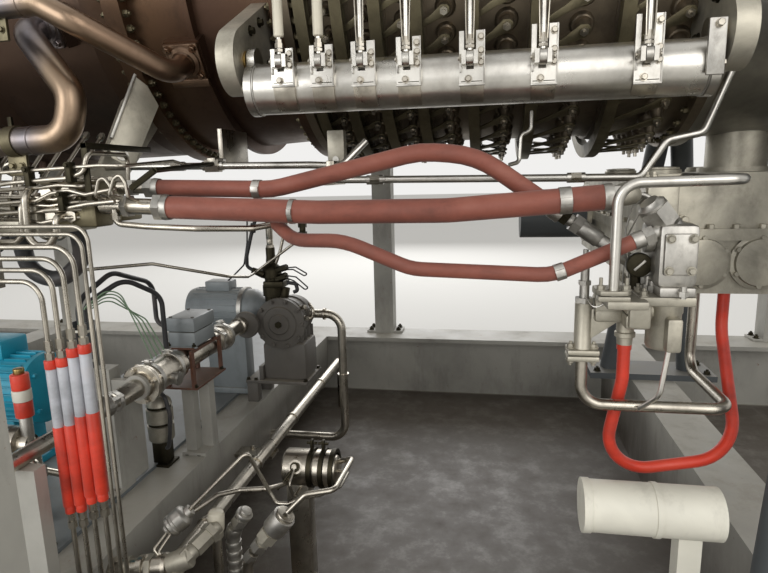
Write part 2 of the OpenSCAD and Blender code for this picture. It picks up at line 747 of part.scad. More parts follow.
// Fuel valve at the front ends of the hoses
valve_y = -640;
valve_x = 1753;
valve_low = 984;
leg_x = 1690;
flange_low = 950;
arm_z = 1150;
module fuel_valve() color(steel) {
    // Block with the hose ports
    box([valve_x + 31, -760, valve_low + 112], [valve_x + 93, -560, 1290]);
    front_ferrule(hose_a_pts, hose_a_r - 2, 208);
    front_ferrule(hose_b_pts, hose_b_r - 2, 82);
    front_ferrule(hose_c_pts, hose_c_r - 2, 34);
    // Valve body below it, with its round side covers
    box([valve_x, -700, valve_low + 40], [valve_x + 41, -580, valve_low + 96]);
    box([valve_x + 6, -760, valve_low + 96], [valve_x + 93, -560, valve_low + 112]);
    xbar(26, valve_x - 46, valve_x, valve_y, valve_low + 68);
    xbar(22, valve_x + 41, valve_x + 61, valve_y, valve_low + 66);
    zbar(32, valve_x + 78, valve_y, valve_low - 6, valve_low + 96);
    zbar(16, valve_x + 20, valve_y + 34, valve_low - 12, valve_low + 40);
    // Leg with the bolted double flange
    zbar(16, leg_x, valve_y, valve_low - 12, valve_low + 77);
    xz_plate(valve_y - 10, 20, [
        [leg_x + 8, valve_low + 6], [valve_x + 4, valve_low + 50], [valve_x + 4, valve_low + 66],
        [leg_x + 8, valve_low + 66]
    ]);
    box([leg_x - 29, valve_y - 22, flange_low], [leg_x + 29, valve_y + 22, valve_low - 12]);
    // Arm to the gearbox
    box([valve_x + 47, -560, arm_z - 50], [gearbox_x0 + 54, -gearbox_y - 12, arm_z + 50]);
}

valve_pipe_r = 11;
module valve_pipe() color(steel) {
    square_rod([[leg_x, valve_y, flange_low], [leg_x, valve_y, 860], [1960, valve_y, 860], [1960, -400, 860],
        [1960, -400, gearbox_top - gearbox_h]], valve_pipe_r, 40);
}

module white_drain_pipe() color([0.85, 0.84, 0.8]) {
    xbar(48, 1694, 1930, -700, 682);
    box([1860, -720, pan_z + pan_t], [1900, -680, 640]);
}

// Fuel pipe train along the transverse beam, from its near end to the pump
train_x = 619;
train_z = 778;
train_y0 = -900;
union_y = -592;
train_flange_y = -440;
body_y = -424;
frame_y0 = -250;
frame_y1 = -40;
train_y1 = 190;
body_r = fuel_r + 16;
framed_r = fuel_r + 8;
sensor_x = 600;
sensor_y = -275;
sensor_z = train_z + body_r + 6;
module fuel_pipe() color(steel) {
    ybar(fuel_r - 9, train_x, train_y0, union_y, train_z);
    ybar(fuel_r + 2, train_x, union_y, union_y + 50, train_z);
    ybar(fuel_r - 2, train_x, union_y + 50, train_flange_y, train_z);
    ybar(fuel_r + 26, train_x, train_flange_y, body_y, train_z);
    ybar(body_r, train_x, body_y, frame_y0 - 4, train_z);
    ybar(framed_r, train_x, frame_y0 - 4, frame_y1 + 20, train_z);
    ybar(framed_r + 6, train_x, frame_y1 + 20, frame_y1 + 60, train_z);
    ybar(fuel_r, train_x, frame_y1 + 60, train_y1, train_z);
    zbar(12, sensor_x, sensor_y, train_z, sensor_z);
}

// Near stand with its saddle, twin posts under the clamp frame, and the hidden near post
stand_x0 = 498;
frame_z = train_z - 84;
module near_stand() {
    box([stand_x0 - 6, -480, base_h + deck_t], [beam_x0, -405, base_h + deck_t + 8]);
    box([stand_x0, -465, base_h + deck_t + 8], [beam_x0, -420, train_z + 48]);
    box([beam_x0 - 8, -420, base_h + deck_t + 8], [beam_x0, -340, train_z - 50]);
    difference() {
        union() {
            box([beam_x0, -462, train_z - 20], [train_x, -446, train_z + 20]);
            ybar(fuel_r + 8, train_x, -462, -446, train_z);
        }
        ybar(fuel_r - 2, train_x, -470, -440, train_z);
    }
}

module pipe_stands() color(paint) {
    near_stand();
    box([585, -219, base_h], [beam_x1, -130, base_h + 10]);
    box([592, -203, base_h + 10], [627, -168, frame_z]);
    box([629, -168, base_h + 10], [beam_x1, -133, frame_z]);
    box([train_x - 40, -860, base_h], [train_x + 40, -830, train_z - fuel_r + 9]);
}

// Open frame of angle bars that clamps the fuel pipe and carries the junction box
box_x0 = train_x - 41;
box_y0 = -225;
box_y1 = -100;
gland_l = 10;
gland_y = -165;
gland_z = train_z + framed_r + 54;
bar_t = 8;
module clamp_frame() color(rust_red) {
    box([562, frame_y0, frame_z], [672, frame_y1 - 20, frame_z + 6]);
    top_z = train_z + framed_r;
    for (x = [train_x - framed_r - bar_t - 2, train_x + framed_r + 2]) {
        for (y = [frame_y0, frame_y1 - 35])
            box([x, y, frame_z + 6], [x + bar_t, y + 15, top_z]);
        box([x, frame_y0, top_z - bar_t], [x + bar_t, frame_y1 - 20, top_z]);
    }
    for (y = [box_y0 - 8, box_y1 - 8])
        box([train_x - framed_r - bar_t - 2, y, top_z], [train_x + framed_r + bar_t + 2, y + 16, top_z + 6]);
}

module junction_box() color(dark_paint) {
    box([box_x0, box_y0, train_z + framed_r + 6], [box_x0 + 86, box_y1, train_z + framed_r + 94]);
    xbar(10, box_x0 - gland_l, box_x0, gland_y, gland_z);
}

// Pump on its shelf above the beam, with its motor
pump_x = 760;
pump_y = 235;
pump_r = 80;
shelf_z = 556;
module pump_casing() color(dark_paint) {
    ybar(pump_r + 15, pump_x, pump_y - 25, pump_y, train_z);
    ybar(pump_r, pump_x, pump_y, pump_y + 165, train_z);
    ybar(fuel_r + 20, train_x + 20, train_y1, pump_y - 25, train_z);
    box([pump_x - pump_r, pump_y - 5, shelf_z], [pump_x + 90, pump_y + 145, train_z - 40]);
    box([610, pump_y - 20, shelf_z - 12], [pump_x + 96, pump_y + 160, shelf_z]);
    for (y = [pump_y - 15, pump_y + 115])
        box([612, y, base_h], [beam_x1 - 8, y + 40, shelf_z - 12]);
}

motor_x0 = 366;
motor_z = train_z + 35;
module pump_motor() color(steel) {
    xbar(pump_r, motor_x0, pump_x - pump_r, pump_y + 85, motor_z);
    box([motor_x0 + 54, pump_y + 35, base_h + deck_t], [motor_x0 + 234, pump_y + 135, motor_z - pump_r / 2]);
}

// Bent pump pipe, and the pipe that runs across the bay beside the beam
floor_pipe_x = 780;
floor_pipe_z = 400;
floor_pipe_r = 20;
module floor_pipes() color(steel) {
    square_rod([[pump_x + pump_r, pump_y + 75, train_z + 19], [969, pump_y + 75, train_z + 19],
        [969, pump_y + 75, 300], [beam_x1, pump_y + 75, 300]], 16, 60);
    square_rod([[floor_pipe_x, -640, pan_z + pan_t], [floor_pipe_x, -640, floor_pipe_z],
        [floor_pipe_x, 980, floor_pipe_z], [floor_pipe_x, 980, pan_z + pan_t]], floor_pipe_r, 60);
    box([beam_x1, -30, floor_pipe_z - floor_pipe_r - 10],
        [floor_pipe_x + floor_pipe_r, 30, floor_pipe_z - floor_pipe_r]);
}

// Cable tray beside the near stand, and the two cables that arch over to the pipe
tray_x0 = 446;
tray_w = 44;
tray_y = -455;
tray_h = 470;
cable_r = 7;
module cable_tray() color(dark_paint) {
    z0 = base_h + deck_t;
    box([tray_x0, tray_y + 30, z0], [tray_x0 + tray_w, tray_y + 34, z0 + tray_h]);
    for (x = [tray_x0, tray_x0 + tray_w - 4])
        box([x, tray_y, z0], [x + 4, tray_y + 30, z0 + tray_h]);
}

cable_z = base_h + deck_t;
cable_a_pts = [
    [tray_x0 + 13, -438, cable_z], [tray_x0 + 13, -438, 1000], [490, -330, 1060], [508, gland_y, 1000],
    [508, gland_y, gland_z], [box_x0 - gland_l, gland_y, gland_z]
];
cable_b_pts = [
    [tray_x0 + 31, -438, cable_z], [tray_x0 + 31, -438, 990], [540, -350, 1045],
    [sensor_x, sensor_y, 985], [sensor_x, sensor_y, sensor_z]
];
module motor_cables() color([0.1, 0.1, 0.1]) {
    rod(cable_a_pts, cable_r, 56);
    rod(cable_b_pts, cable_r, 56);
}

// Red hose from the valve's middle port to the gearbox
red_hose_pts = [
    [valve_x + 20, valve_y + 34, valve_low - 12], [valve_x + 20, valve_y + 34, 900], [1740, -590, 690],
    [2010, -560, 730], [2010, -425, 960], [2010, -425, gearbox_top - gearbox_h]
];
module red_hose() color([0.8, 0.15, 0.1]) rod(red_hose_pts, 12, 96);

module side_motor() color([0.1, 0.55, 0.6]) {
    xbar(105, -40, 269, -350, 725);
    box([20, -420, base_h + deck_t], [200, -280, 725 - 60]);
}

tube_count = 4;
rack_x = 510;
module sleeved_tubes() color([0.8, 0.25, 0.15])
    for (i = [0:tube_count - 1]) {
        x = 676 + 26 * i;
        z = 1120 + 22 * i;
        square_rod([[x, -800, pan_z + pan_t], [x, -800, z], [rack_x, -800, z]], 5, 40);
        zbar(12, x, -800, 660, 860);
    }

base_frame();
cross_beam();
deck_plate();
bay_frame_near();
bay_frame_far();
bay_cross_ties();
front_support();
rear_support();
inlet_bellmouth();
inlet_centre_body();
front_frame();
compressor_front_case();
compressor_rear_case();
combustor_case();
turbine_case();
turbine_mid_frame();
power_turbine_case();
turbine_rear_frame();
exhaust_cone();
output_shaft();
accessory_gearbox();
starter_and_pumps();
shaft_bearing_brackets();
vane_shaft();
vane_link(0);  // vane_link_1
vane_link(1);  // vane_link_2
vane_link(2);  // vane_link_3
vane_link(3);  // vane_link_4
vane_link(4);  // vane_link_5
vane_link(5);  // vane_link_6
vane_link(6);  // vane_link_7
vane_ring(0);  // vane_ring_1
vane_ring(1);  // vane_ring_2
vane_ring(2);  // vane_ring_3
vane_ring(3);  // vane_ring_4
vane_ring(4);  // vane_ring_5
vane_ring(5);  // vane_ring_6
vane_ring(6);  // vane_ring_7
bleed_pipe_upper();
bleed_pipe_lower();
hose_upper();
hose_middle();
hose_lower();
hose_manifold();
fuel_valve();
valve_pipe();
white_drain_pipe();
fuel_pipe();
pipe_stands();
clamp_frame();
junction_box();
pump_motor();
pump_casing();
floor_pipes();
cable_tray();
motor_cables();
red_hose();
side_motor();
sleeved_tubes();
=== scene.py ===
"""Small parts, finishes, light and camera for the gas turbine on its base frame."""

import math
import random

import bmesh
import bpy
from mathutils import Matrix, Vector


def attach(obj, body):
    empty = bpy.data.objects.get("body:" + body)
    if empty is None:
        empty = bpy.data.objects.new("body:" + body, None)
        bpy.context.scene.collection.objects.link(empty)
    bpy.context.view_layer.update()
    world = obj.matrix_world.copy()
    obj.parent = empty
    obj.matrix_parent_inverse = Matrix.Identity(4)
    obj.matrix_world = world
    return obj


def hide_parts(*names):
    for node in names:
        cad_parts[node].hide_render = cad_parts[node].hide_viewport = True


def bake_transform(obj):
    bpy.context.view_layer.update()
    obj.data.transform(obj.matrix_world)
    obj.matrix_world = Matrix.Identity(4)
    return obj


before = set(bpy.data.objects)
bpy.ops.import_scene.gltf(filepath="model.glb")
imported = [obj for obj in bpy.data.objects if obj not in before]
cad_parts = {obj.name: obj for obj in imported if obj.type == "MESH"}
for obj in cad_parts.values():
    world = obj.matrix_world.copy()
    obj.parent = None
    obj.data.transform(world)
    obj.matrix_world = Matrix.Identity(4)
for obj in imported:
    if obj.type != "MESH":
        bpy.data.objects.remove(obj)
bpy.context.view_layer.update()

bl_info = {
    "name": "Gas Turbine Dressing",
    "version": (1, 0, 0),
    "blender": (4, 5, 0),
    "location": "3D View > Sidebar > Gas Turbine",
    "description": "Adds the small parts and the finishes to the gas turbine",
    "category": "Add Mesh",
}

MM = 0.001
# Angle, in radians, over which an edge is softened, and the reach of a weld in millimetres
SHARP = 0.6
WELD = 0.02
# Width of a hexagon over its flats, for each radius of its corners
HEX = 1.732
ENGINE = "frame_and_engine"
SHAFT = "vane_shaft"

# Places of the engine, in millimetres
AXIS_Z = 1840.0
COMP_X0, COMP_X1, COMP_X2 = 654.0, 1054.0, 1994.0
COMP_R = 440.0
RIM_T = 22.0
BURNER_X, TURBINE_X, MID_X = -46.0, -286.0, -736.0
POWER_X, REAR_X, FRONT_X = -2036.0, -2386.0, 2344.0
DECK_Z, PLATE_Z, PAN_Z = 468.0, 478.0, 148.0
STAGE_XS = (1106.0, 1186.0, 1269.0, 1357.0, 1476.0, 1607.0, 1786.0)
SPINDLE_XS = (1154.0, 1236.0, 1323.0, 1416.0, 1547.0, 1704.0, 1903.0)
TUBE_R = 50.5
PIVOT_Y, PIVOT_Z, TUBE_Z = -540.0, 1543.0, 1485.0
SHAFT_X0, SHAFT_X1 = 1038.0, 1899.0
TRAIN_X, TRAIN_Z = 619.0, 778.0
VALVE_X, VALVE_Y, VALVE_LOW, LEG_X = 1753.0, -640.0, 984.0, 1690.0
MANIFOLD_X1, HANGER_X = 780.0, 620.0
PUMP_X, PUMP_MOTOR, SIDE_MOTOR = 760, Vector((366, 320, 813)), Vector((-40, -350, 725))
HEAD_X, HEAD_Y = 712, 290
CANISTER_X, CANISTER_Y = 556, -272
BOTTLE_X, BOTTLE_Y = 430, -622
SLEEVES_Y = -800
POST_XS, POST_Y, POST_STEP = (-2880, -960, 960, 2880), 1300, 1920
SUPPORTS = ((2169, 720, 570), (-2211, 820, 750))
GEARBOX_X, GEARBOX_Z, GEARBOX_TOP, GEARBOX_FLOOR = 2169, 1167, 1292, 1179

# Directions: the engine's inlet is at the front and the photographed side is near
UP, DOWN, NEAR, FAR, FRONT, REAR = (0, 0, 1), (0, 0, -1), (0, -1, 0), (0, 1, 0), (1, 0, 0), (-1, 0, 0)

# Routes of the hoses and cables: points, outer radius and bend radius
HOSE_A = (((836, -640, 1289), (1090, -640, 1281), (1385, -640, 1345), (1490, -640, 1335),
           (1627, -640, 1238)), 17, 180)
HOSE_B = (((890, -700, 1252), (1200, -700, 1238), (1440, -700, 1238), (1708, -700, 1257)), 22, 400)
HOSE_C = (((836, -600, 1250), (1040, -605, 1248), (1150, -700, 1186), (1260, -750, 1190), (1380, -750, 1140),
           (1620, -750, 1130), (1760, -740, 1190)), 13, 110)
RED_HOSE = (((1773, -606, 972), (1773, -606, 900), (1740, -590, 690), (2010, -560, 730), (2010, -425, 960),
             (2010, -425, 1042)), 12, 96)
CABLE_A = (((459, -438, 478), (459, -438, 1000), (490, -330, 1060), (508, -165, 1000), (508, -165, 866),
            (568, -165, 866)), 7, 56)
CABLE_B = (((477, -438, 478), (477, -438, 990), (540, -350, 1045), (600, -275, 985), (600, -275, 826)), 7, 56)

# The photograph's frame, in pixels, and the camera that took it
PHOTO_WIDTH = 768
PHOTO_FOCAL = 580.0
SENSOR = 36.0
CAMERA_PLACE = Vector((1.514, -1.75, 1.30))
CAMERA_TURN = math.radians(10.4)
CAMERA_DOWN = math.radians(10.7)
CAMERA_ROLL = math.radians(1.4)


def size(label, words, default, low, high):
    """One size that the user can change."""
    return bpy.props.FloatProperty(name=label, description=words, default=default, min=low, max=high)


class TurbineSizes(bpy.types.PropertyGroup):
    """Sizes of the small parts."""

    bolt_across: size("Flange bolts", "Width across the flats of a casing bolt, in millimetres", 15.0, 10, 19)
    bolt_pitch: size("Bolt pitch", "Distance from bolt to bolt round a casing flange, in millimetres",
                     33.0, 28, 60)
    boss_r: size("Vane boss", "Radius of the boss under a vane spindle, in millimetres", 24.0, 16, 27)
    lever_skew: size("Lever skew", "How far a vane lever leans round the case over its length",
                     0.55, 0.0, 0.8)
    rail_r: size("Silver rail", "Radius of the bright rails behind the hoses, in millimetres", 8.0, 5, 12)
    wire_r: size("Lock wire", "Radius of the lock wires, in millimetres", 1.3, 0.8, 2)


def paint_colour(label, colour, words):
    """One colour that the user can change, as it shows on a screen."""
    return bpy.props.FloatVectorProperty(name=label, description=words,
                                         default=tuple(c / 255 for c in colour), subtype="COLOR_GAMMA",
                                         min=0, max=1)


class TurbineColours(bpy.types.PropertyGroup):
    """Colours of the finishes."""

    base_paint: paint_colour("Base paint", (168, 166, 158), "Light grey paint of the base and stands")
    deck_paint: paint_colour("Deck plate", (112, 118, 121), "Blue-grey paint of the deck plate")
    dark_paint: paint_colour("Dark paint", (78, 82, 84), "Dark grey paint of supports and pumps")
    case_steel: paint_colour("Front case", (124, 113, 97), "Olive brown tint of the compressor's front case")
    heated_steel: paint_colour("Heated case", (96, 76, 61), "Brown tint of the hot casings")
    ring_steel: paint_colour("Vane rings", (112, 105, 84), "Olive tint of the rings and levers")
    bright_steel: paint_colour("Bright steel", (196, 193, 186), "Turned steel of the vane shaft")
    tube_steel: paint_colour("Tubes", (178, 172, 160), "Drawn steel of the small tubes")
    bleed_steel: paint_colour("Bleed pipes", (150, 132, 114), "Heat-tinted steel of the bleed pipes")
    cast_alloy: paint_colour("Cast alloy", (176, 171, 157), "Cast alloy of the fuel valve")
    machined_alloy: paint_colour("Machined alloy", (178, 176, 170), "Machined alloy of the inlet")
    cream_paint: paint_colour("Cream paint", (214, 208, 190), "Cream paint of the first two rods")
    grey_paint: paint_colour("Grey paint", (138, 144, 146), "Grey paint of motor and junction box")
    cast_iron: paint_colour("Pump casting", (92, 88, 82), "Painted casting of the pump")
    turquoise: paint_colour("Turquoise", (32, 158, 186), "Paint of the side motor")
    primer: paint_colour("Primer", (98, 66, 52), "Rusty primer of the clamp frame")
    hose_sleeve: paint_colour("Hose sleeve", (134, 74, 59), "Red-brown fire sleeve of the hoses")
    red_sleeve: paint_colour("Red sleeve", (214, 58, 34), "Orange-red sleeve of small tubes and hose")
    clear_sleeve: paint_colour("Clear sleeve", (188, 190, 196), "Milky sleeve above the red ones")
    white_plastic: paint_colour("White pipe", (222, 219, 205), "Dusty plastic of the drain pipe")
    black_rubber: paint_colour("Rubber", (40, 40, 42), "Black sheath of cables")
    brass: paint_colour("Brass", (176, 150, 96), "Bushes and unions of brass")


def linear(colour):
    """Scene-linear values of a screen colour."""
    return tuple(c / 12.92 if c <= 0.04045 else ((c + 0.055) / 1.055) ** 2.4 for c in colour)


def shade(colour, share):
    """The colour made lighter (over 1) or darker (under 1)."""
    return tuple(min(1.0, c * share) for c in colour)


def towards(colour, other, share):
    """A colour on the way to another one."""
    return tuple(a + (b - a) * share for a, b in zip(colour, other))


RUST = tuple(c / 255 for c in (112, 66, 40))
SOOT = tuple(c / 255 for c in (40, 34, 30))
DUST = tuple(c / 255 for c in (176, 166, 146))
OIL = tuple(c / 255 for c in (62, 52, 42))


class Tree:
    """Short names for the nodes of one material."""

    def __init__(self, name):
        self.material = bpy.data.materials.new(name)
        self.material.use_nodes = True
        self.nodes = self.material.node_tree.nodes
        self.links = self.material.node_tree.links
        self.shader = self.nodes["Principled BSDF"]
        self.place = self.nodes.new("ShaderNodeTexCoord").outputs["Object"]

    def link(self, out, into):
        """Joins an output to an input."""
        self.links.new(out, into)

    def parts(self, vector):
        """Outputs X, Y and Z of a vector."""
        made = self.nodes.new("ShaderNodeSeparateXYZ")
        self.link(vector, made.inputs["Vector"])
        return made.outputs

    def stretched(self, scale):
        """Object coordinates, stretched along the axes."""
        mapping = self.nodes.new("ShaderNodeMapping")
        mapping.inputs["Scale"].default_value = scale
        self.link(self.place, mapping.inputs["Vector"])
        return mapping.outputs["Vector"]

    def noise(self, scale, detail=4.0, rough=0.6, place=None, twist=0.0):
        """Cloudy pattern from 0 to 1."""
        made = self.nodes.new("ShaderNodeTexNoise")
        made.inputs["Scale"].default_value = scale
        made.inputs["Detail"].default_value = detail
        made.inputs["Roughness"].default_value = rough
        made.inputs["Distortion"].default_value = twist
        self.link(place or self.place, made.inputs["Vector"])
        return made.outputs["Fac"]

    def between(self, value, low, high, out_low, out_high):
        """A value brought from one range into another."""
        made = self.nodes.new("ShaderNodeMapRange")
        for key, number in zip(("From Min", "From Max", "To Min", "To Max"), (low, high, out_low, out_high)):
            made.inputs[key].default_value = number
        self.link(value, made.inputs["Value"])
        return made.outputs["Result"]

    def ramp(self, value, stops):
        """Colours at places along a value."""
        made = self.nodes.new("ShaderNodeValToRGB")
        elements = made.color_ramp.elements
        while len(elements) < len(stops):
            elements.new(0.5)
        for element, (place, colour) in zip(elements, stops):
            element.position = place
            element.color = (*linear(colour), 1.0)
        self.link(value, made.inputs["Fac"])
        return made.outputs["Color"]

    def over(self, under, colour, share):
        """A colour laid over another one where share is high."""
        made = self.nodes.new("ShaderNodeMix")
        made.data_type = "RGBA"
        self.link(share, made.inputs["Factor"])
        self.link(under, made.inputs["A"])
        made.inputs["B"].default_value = (*linear(colour), 1.0)
        return made.outputs["Result"]

    def maths(self, operation, a, b=None):
        """Result of a calculation with one or two values."""
        made = self.nodes.new("ShaderNodeMath")
        made.operation = operation
        self.link(a, made.inputs[0])
        if b:
            self.link(b, made.inputs[1])
        return made.outputs["Value"]

    def painted_shade_inside(self, levels, patches):
        """Share of painted shade, high near the pan's floor, inside the outer beams of the base."""
        apart = self.parts(self.place)
        share = self.maths("MULTIPLY", self.between(apart["Z"], *levels, 0.88, 0.0),
                           self.between(patches, 0.25, 0.5, 0.72, 1.0))
        for axis, reach in (("X", 3.37), ("Y", 1.24)):
            inside = self.between(self.maths("ABSOLUTE", apart[axis]), reach - 0.02, reach, 1.0, 0.0)
            share = self.maths("MULTIPLY", share, inside)
        return share

    def bump(self, height, strength, distance, under=None):
        """Relief from a height, over another relief if one is given."""
        made = self.nodes.new("ShaderNodeBump")
        made.inputs["Strength"].default_value = strength
        made.inputs["Distance"].default_value = distance
        self.link(height, made.inputs["Height"])
        if under:
            self.link(under, made.inputs["Normal"])
        return made.outputs["Normal"]


def worn_metal(name, colour, rough=(0.25, 0.5), stain=OIL, stain_share=0.45, lines=(1, 1, 1), grain=260.0,
               relief=0.12, patch=3.0, metal=1.0, tint=(), spots=None):
    """Metal with patches, stains, fine lines and, where tint is given, heat colours along the engine."""
    t = Tree(name)
    broad = t.noise(patch, 6.0, 0.65, twist=0.4)
    base = t.ramp(broad, ((0.30, shade(colour, 0.78)), (0.52, colour), (0.75, shade(colour, 1.14))))
    if tint:
        along = t.nodes.new("ShaderNodeMath")
        along.operation = "MULTIPLY_ADD"
        t.link(broad, along.inputs[0])
        along.inputs[1].default_value = 0.10
        t.link(t.parts(t.place)["X"], along.inputs[2])
        low, high = tint[0][0], tint[-1][0]
        heat = t.ramp(t.between(along.outputs["Value"], low, high, 0.0, 1.0),
                      [((x - low) / (high - low), hue) for x, hue in tint])
        mixed = t.nodes.new("ShaderNodeMix")
        mixed.data_type = "RGBA"
        mixed.inputs["Factor"].default_value = 0.62
        t.link(base, mixed.inputs["A"])
        t.link(heat, mixed.inputs["B"])
        base = mixed.outputs["Result"]
    dirt = t.noise(patch * 3.7, 8.0, 0.72, place=t.stretched((1.0, 1.0, 0.55)))
    base = t.over(base, stain, t.between(dirt, 0.52, 0.78, 0.0, stain_share))
    if spots:
        base = t.over(base, spots, t.between(t.noise(patch * 14, 6.0, 0.7), 0.62, 0.74, 0.0, 0.7))
    t.link(base, t.shader.inputs["Base Color"])
    fine = t.noise(grain, 3.0, 0.55, place=t.stretched(lines))
    t.link(t.between(dirt, 0.3, 0.75, rough[0], rough[1]), t.shader.inputs["Roughness"])
    t.link(t.bump(fine, relief, 0.0006, t.bump(broad, relief * 0.5, 0.004)), t.shader.inputs["Normal"])
    t.shader.inputs["Metallic"].default_value = metal
    return t.material


def paint(name, colour, rough=(0.38, 0.6), chips=RUST, chip_share=0.0, dust=0.35, grain=140.0, relief=0.10,
          patch=2.2, grime=SOOT, grime_share=0.4, oily=()):
    """Paint with orange peel, grime, chips, dust on what faces up and, where levels are given, painted shade
    in an oil colour low inside the base.
    """
    t = Tree(name)
    broad = t.noise(patch, 6.0, 0.6, twist=0.3)
    base = t.ramp(broad, ((0.28, shade(colour, 0.82)), (0.55, colour), (0.8, shade(colour, 1.07))))
    runs = t.noise(patch * 4.0, 7.0, 0.7, place=t.stretched((1.0, 1.0, 0.3)))
    base = t.over(base, grime, t.between(runs, 0.53, 0.80, 0.0, grime_share))
    if chip_share:
        chip = t.noise(patch * 17.0, 7.0, 0.75)
        base = t.over(base, chips, t.between(chip, 0.66 - chip_share * 0.2, 0.72, 0.0, 0.85))
    facing = t.nodes.new("ShaderNodeNewGeometry")
    upward = t.parts(facing.outputs["Normal"])["Z"]
    lying = t.maths("MULTIPLY", t.between(upward, 0.6, 1.0, 0.0, dust), t.between(runs, 0.3, 0.6, 0.4, 1.0))
    base = t.over(base, DUST, lying)
    # Painted shade: the oil colour darkens the low floor of the pan inside the base, where shade falls.
    if oily:
        base = t.over(base, OIL, t.painted_shade_inside(oily, runs))
    t.link(base, t.shader.inputs["Base Color"])
    t.link(t.between(runs, 0.3, 0.7, rough[0], rough[1]), t.shader.inputs["Roughness"])
    peel = t.noise(grain, 3.0, 0.5)
    t.link(t.bump(peel, relief, 0.0008, t.bump(broad, 0.1, 0.004)), t.shader.inputs["Normal"])
    return t.material


def woven(name, colour, pitch=0.0016, rough=(0.5, 0.7), relief=0.5, grime_share=0.35):
    """Sleeve of a woven or ribbed skin, with a soft sheen and rubbed marks."""
    t = Tree(name)
    broad = t.noise(9.0, 5.0, 0.6, place=t.stretched((0.6, 1.0, 1.0)), twist=0.3)
    base = t.ramp(broad, ((0.3, shade(colour, 0.74)), (0.55, colour),
                          (0.78, towards(colour, (0.85, 0.7, 0.62), 0.22))))
    marks = t.noise(34.0, 7.0, 0.72, place=t.stretched((0.35, 1.0, 1.0)))
    base = t.over(base, SOOT, t.between(marks, 0.56, 0.8, 0.0, grime_share))
    t.link(base, t.shader.inputs["Base Color"])
    t.link(t.between(marks, 0.3, 0.7, rough[0], rough[1]), t.shader.inputs["Roughness"])
    wave = t.nodes.new("ShaderNodeTexWave")
    wave.bands_direction = "X"
    wave.inputs["Scale"].default_value = 0.31 / pitch / 6.2832
    wave.inputs["Distortion"].default_value = 1.2
    wave.inputs["Detail"].default_value = 2.0
    t.link(t.place, wave.inputs["Vector"])
    t.link(t.bump(wave.outputs["Fac"], relief * 0.4, 0.0005, t.bump(marks, relief * 0.4, 0.001)),
           t.shader.inputs["Normal"])
    t.shader.inputs["Sheen Weight"].default_value = 0.15
    return t.material


MATERIALS = {}


def build_materials(c):
    """All finishes, by name."""
    def hot(*stops):
        return [(x, tuple(v / 255 for v in hue)) for x, hue in stops]


    def add(kind, name, colour=None, **looks):
        MATERIALS[name] = kind(name, colour or getattr(c, name), **looks)

    # The base paint takes painted shade, in the oil colour, from 0.2 to 0.47 m up inside the base.
    add(paint, "base_paint", chip_share=0.12, dust=0.25, grime=OIL, grime_share=0.45, oily=(0.2, 0.47))
    add(paint, "deck_paint", rough=(0.28, 0.5), chip_share=0.1, dust=0.15)
    add(paint, "dark_paint", chip_share=0.06, dust=0.3)
    add(paint, "grey_paint", rough=(0.3, 0.5), dust=0.25)
    add(paint, "cream_paint", rough=(0.3, 0.5), dust=0.0, grime=OIL, grime_share=0.55)
    add(paint, "turquoise", rough=(0.3, 0.5), dust=0.15, grime_share=0.3)
    add(paint, "primer", rough=(0.5, 0.75), chip_share=0.5, dust=0.2, chips=shade(RUST, 1.25))
    add(paint, "white_plastic", rough=(0.4, 0.6), dust=0.1, grime=OIL, grime_share=0.4, relief=0.04)
    add(paint, "cast_iron", rough=(0.45, 0.65), grain=420.0, relief=0.35, chip_share=0.1, dust=0.35)
    add(worn_metal, "case_steel", rough=(0.36, 0.58), stain=SOOT, stain_share=0.6, lines=(6.0, 1, 1),
        relief=0.16, patch=4.0, metal=0.85)
    add(worn_metal, "heated_steel", rough=(0.32, 0.58), stain=SOOT, stain_share=0.65, relief=0.1, metal=0.85,
        tint=hot((-2.4, (92, 84, 80)), (-1.2, (104, 82, 66)), (-0.3, (78, 66, 66)), (0.3, (86, 70, 62)),
                 (0.62, (74, 60, 52)), (0.76, (110, 84, 62)), (0.9, (72, 52, 44)), (1.05, (88, 66, 52))))
    add(worn_metal, "ring_steel", rough=(0.34, 0.55), stain=SOOT, stain_share=0.5, patch=9.0, metal=0.85)
    add(worn_metal, "bright_steel", rough=(0.24, 0.40), stain=(0.42, 0.37, 0.30), stain_share=0.35,
        lines=(2.0, 0.02, 0.02), grain=900.0, relief=0.10, patch=5.0)
    add(worn_metal, "tube_steel", rough=(0.22, 0.42), stain_share=0.4, patch=8.0, relief=0.05)
    add(worn_metal, "bleed_steel", rough=(0.26, 0.46), stain=(0.36, 0.27, 0.20), stain_share=0.5, patch=3.5,
        relief=0.05, tint=hot((-0.9, (120, 98, 80)), (0.1, (150, 138, 126)), (0.44, (166, 152, 138)),
                              (0.56, (120, 124, 138)), (0.63, (158, 138, 116)), (0.76, (134, 108, 88)),
                              (0.86, (110, 86, 70))))
    add(worn_metal, "cast_alloy", rough=(0.38, 0.58), stain=OIL, stain_share=0.35, grain=600.0, relief=0.22,
        patch=7.0, metal=0.7)
    add(worn_metal, "machined_alloy", rough=(0.3, 0.45), stain_share=0.3, relief=0.06)
    add(worn_metal, "silver_alloy", shade(c.bright_steel, 0.92), rough=(0.38, 0.54), stain=OIL,
        stain_share=0.4, patch=12.0, relief=0.1, grain=500.0)
    add(worn_metal, "dark_steel", shade(c.ring_steel, 0.55), rough=(0.4, 0.6), stain=SOOT, patch=10.0)
    add(worn_metal, "brass", rough=(0.25, 0.42), stain=OIL, stain_share=0.4, patch=12.0)
    add(woven, "hose_sleeve")
    add(woven, "red_sleeve", rough=(0.35, 0.55), relief=0.2, grime_share=0.2)
    add(woven, "clear_sleeve", rough=(0.3, 0.5), relief=0.2, grime_share=0.25)
    add(paint, "wire_sleeve", towards(c.clear_sleeve, (0.25, 0.42, 0.2), 0.55), dust=0.1)
    add(woven, "black_rubber", rough=(0.4, 0.6), relief=0.2, grime_share=0.0)


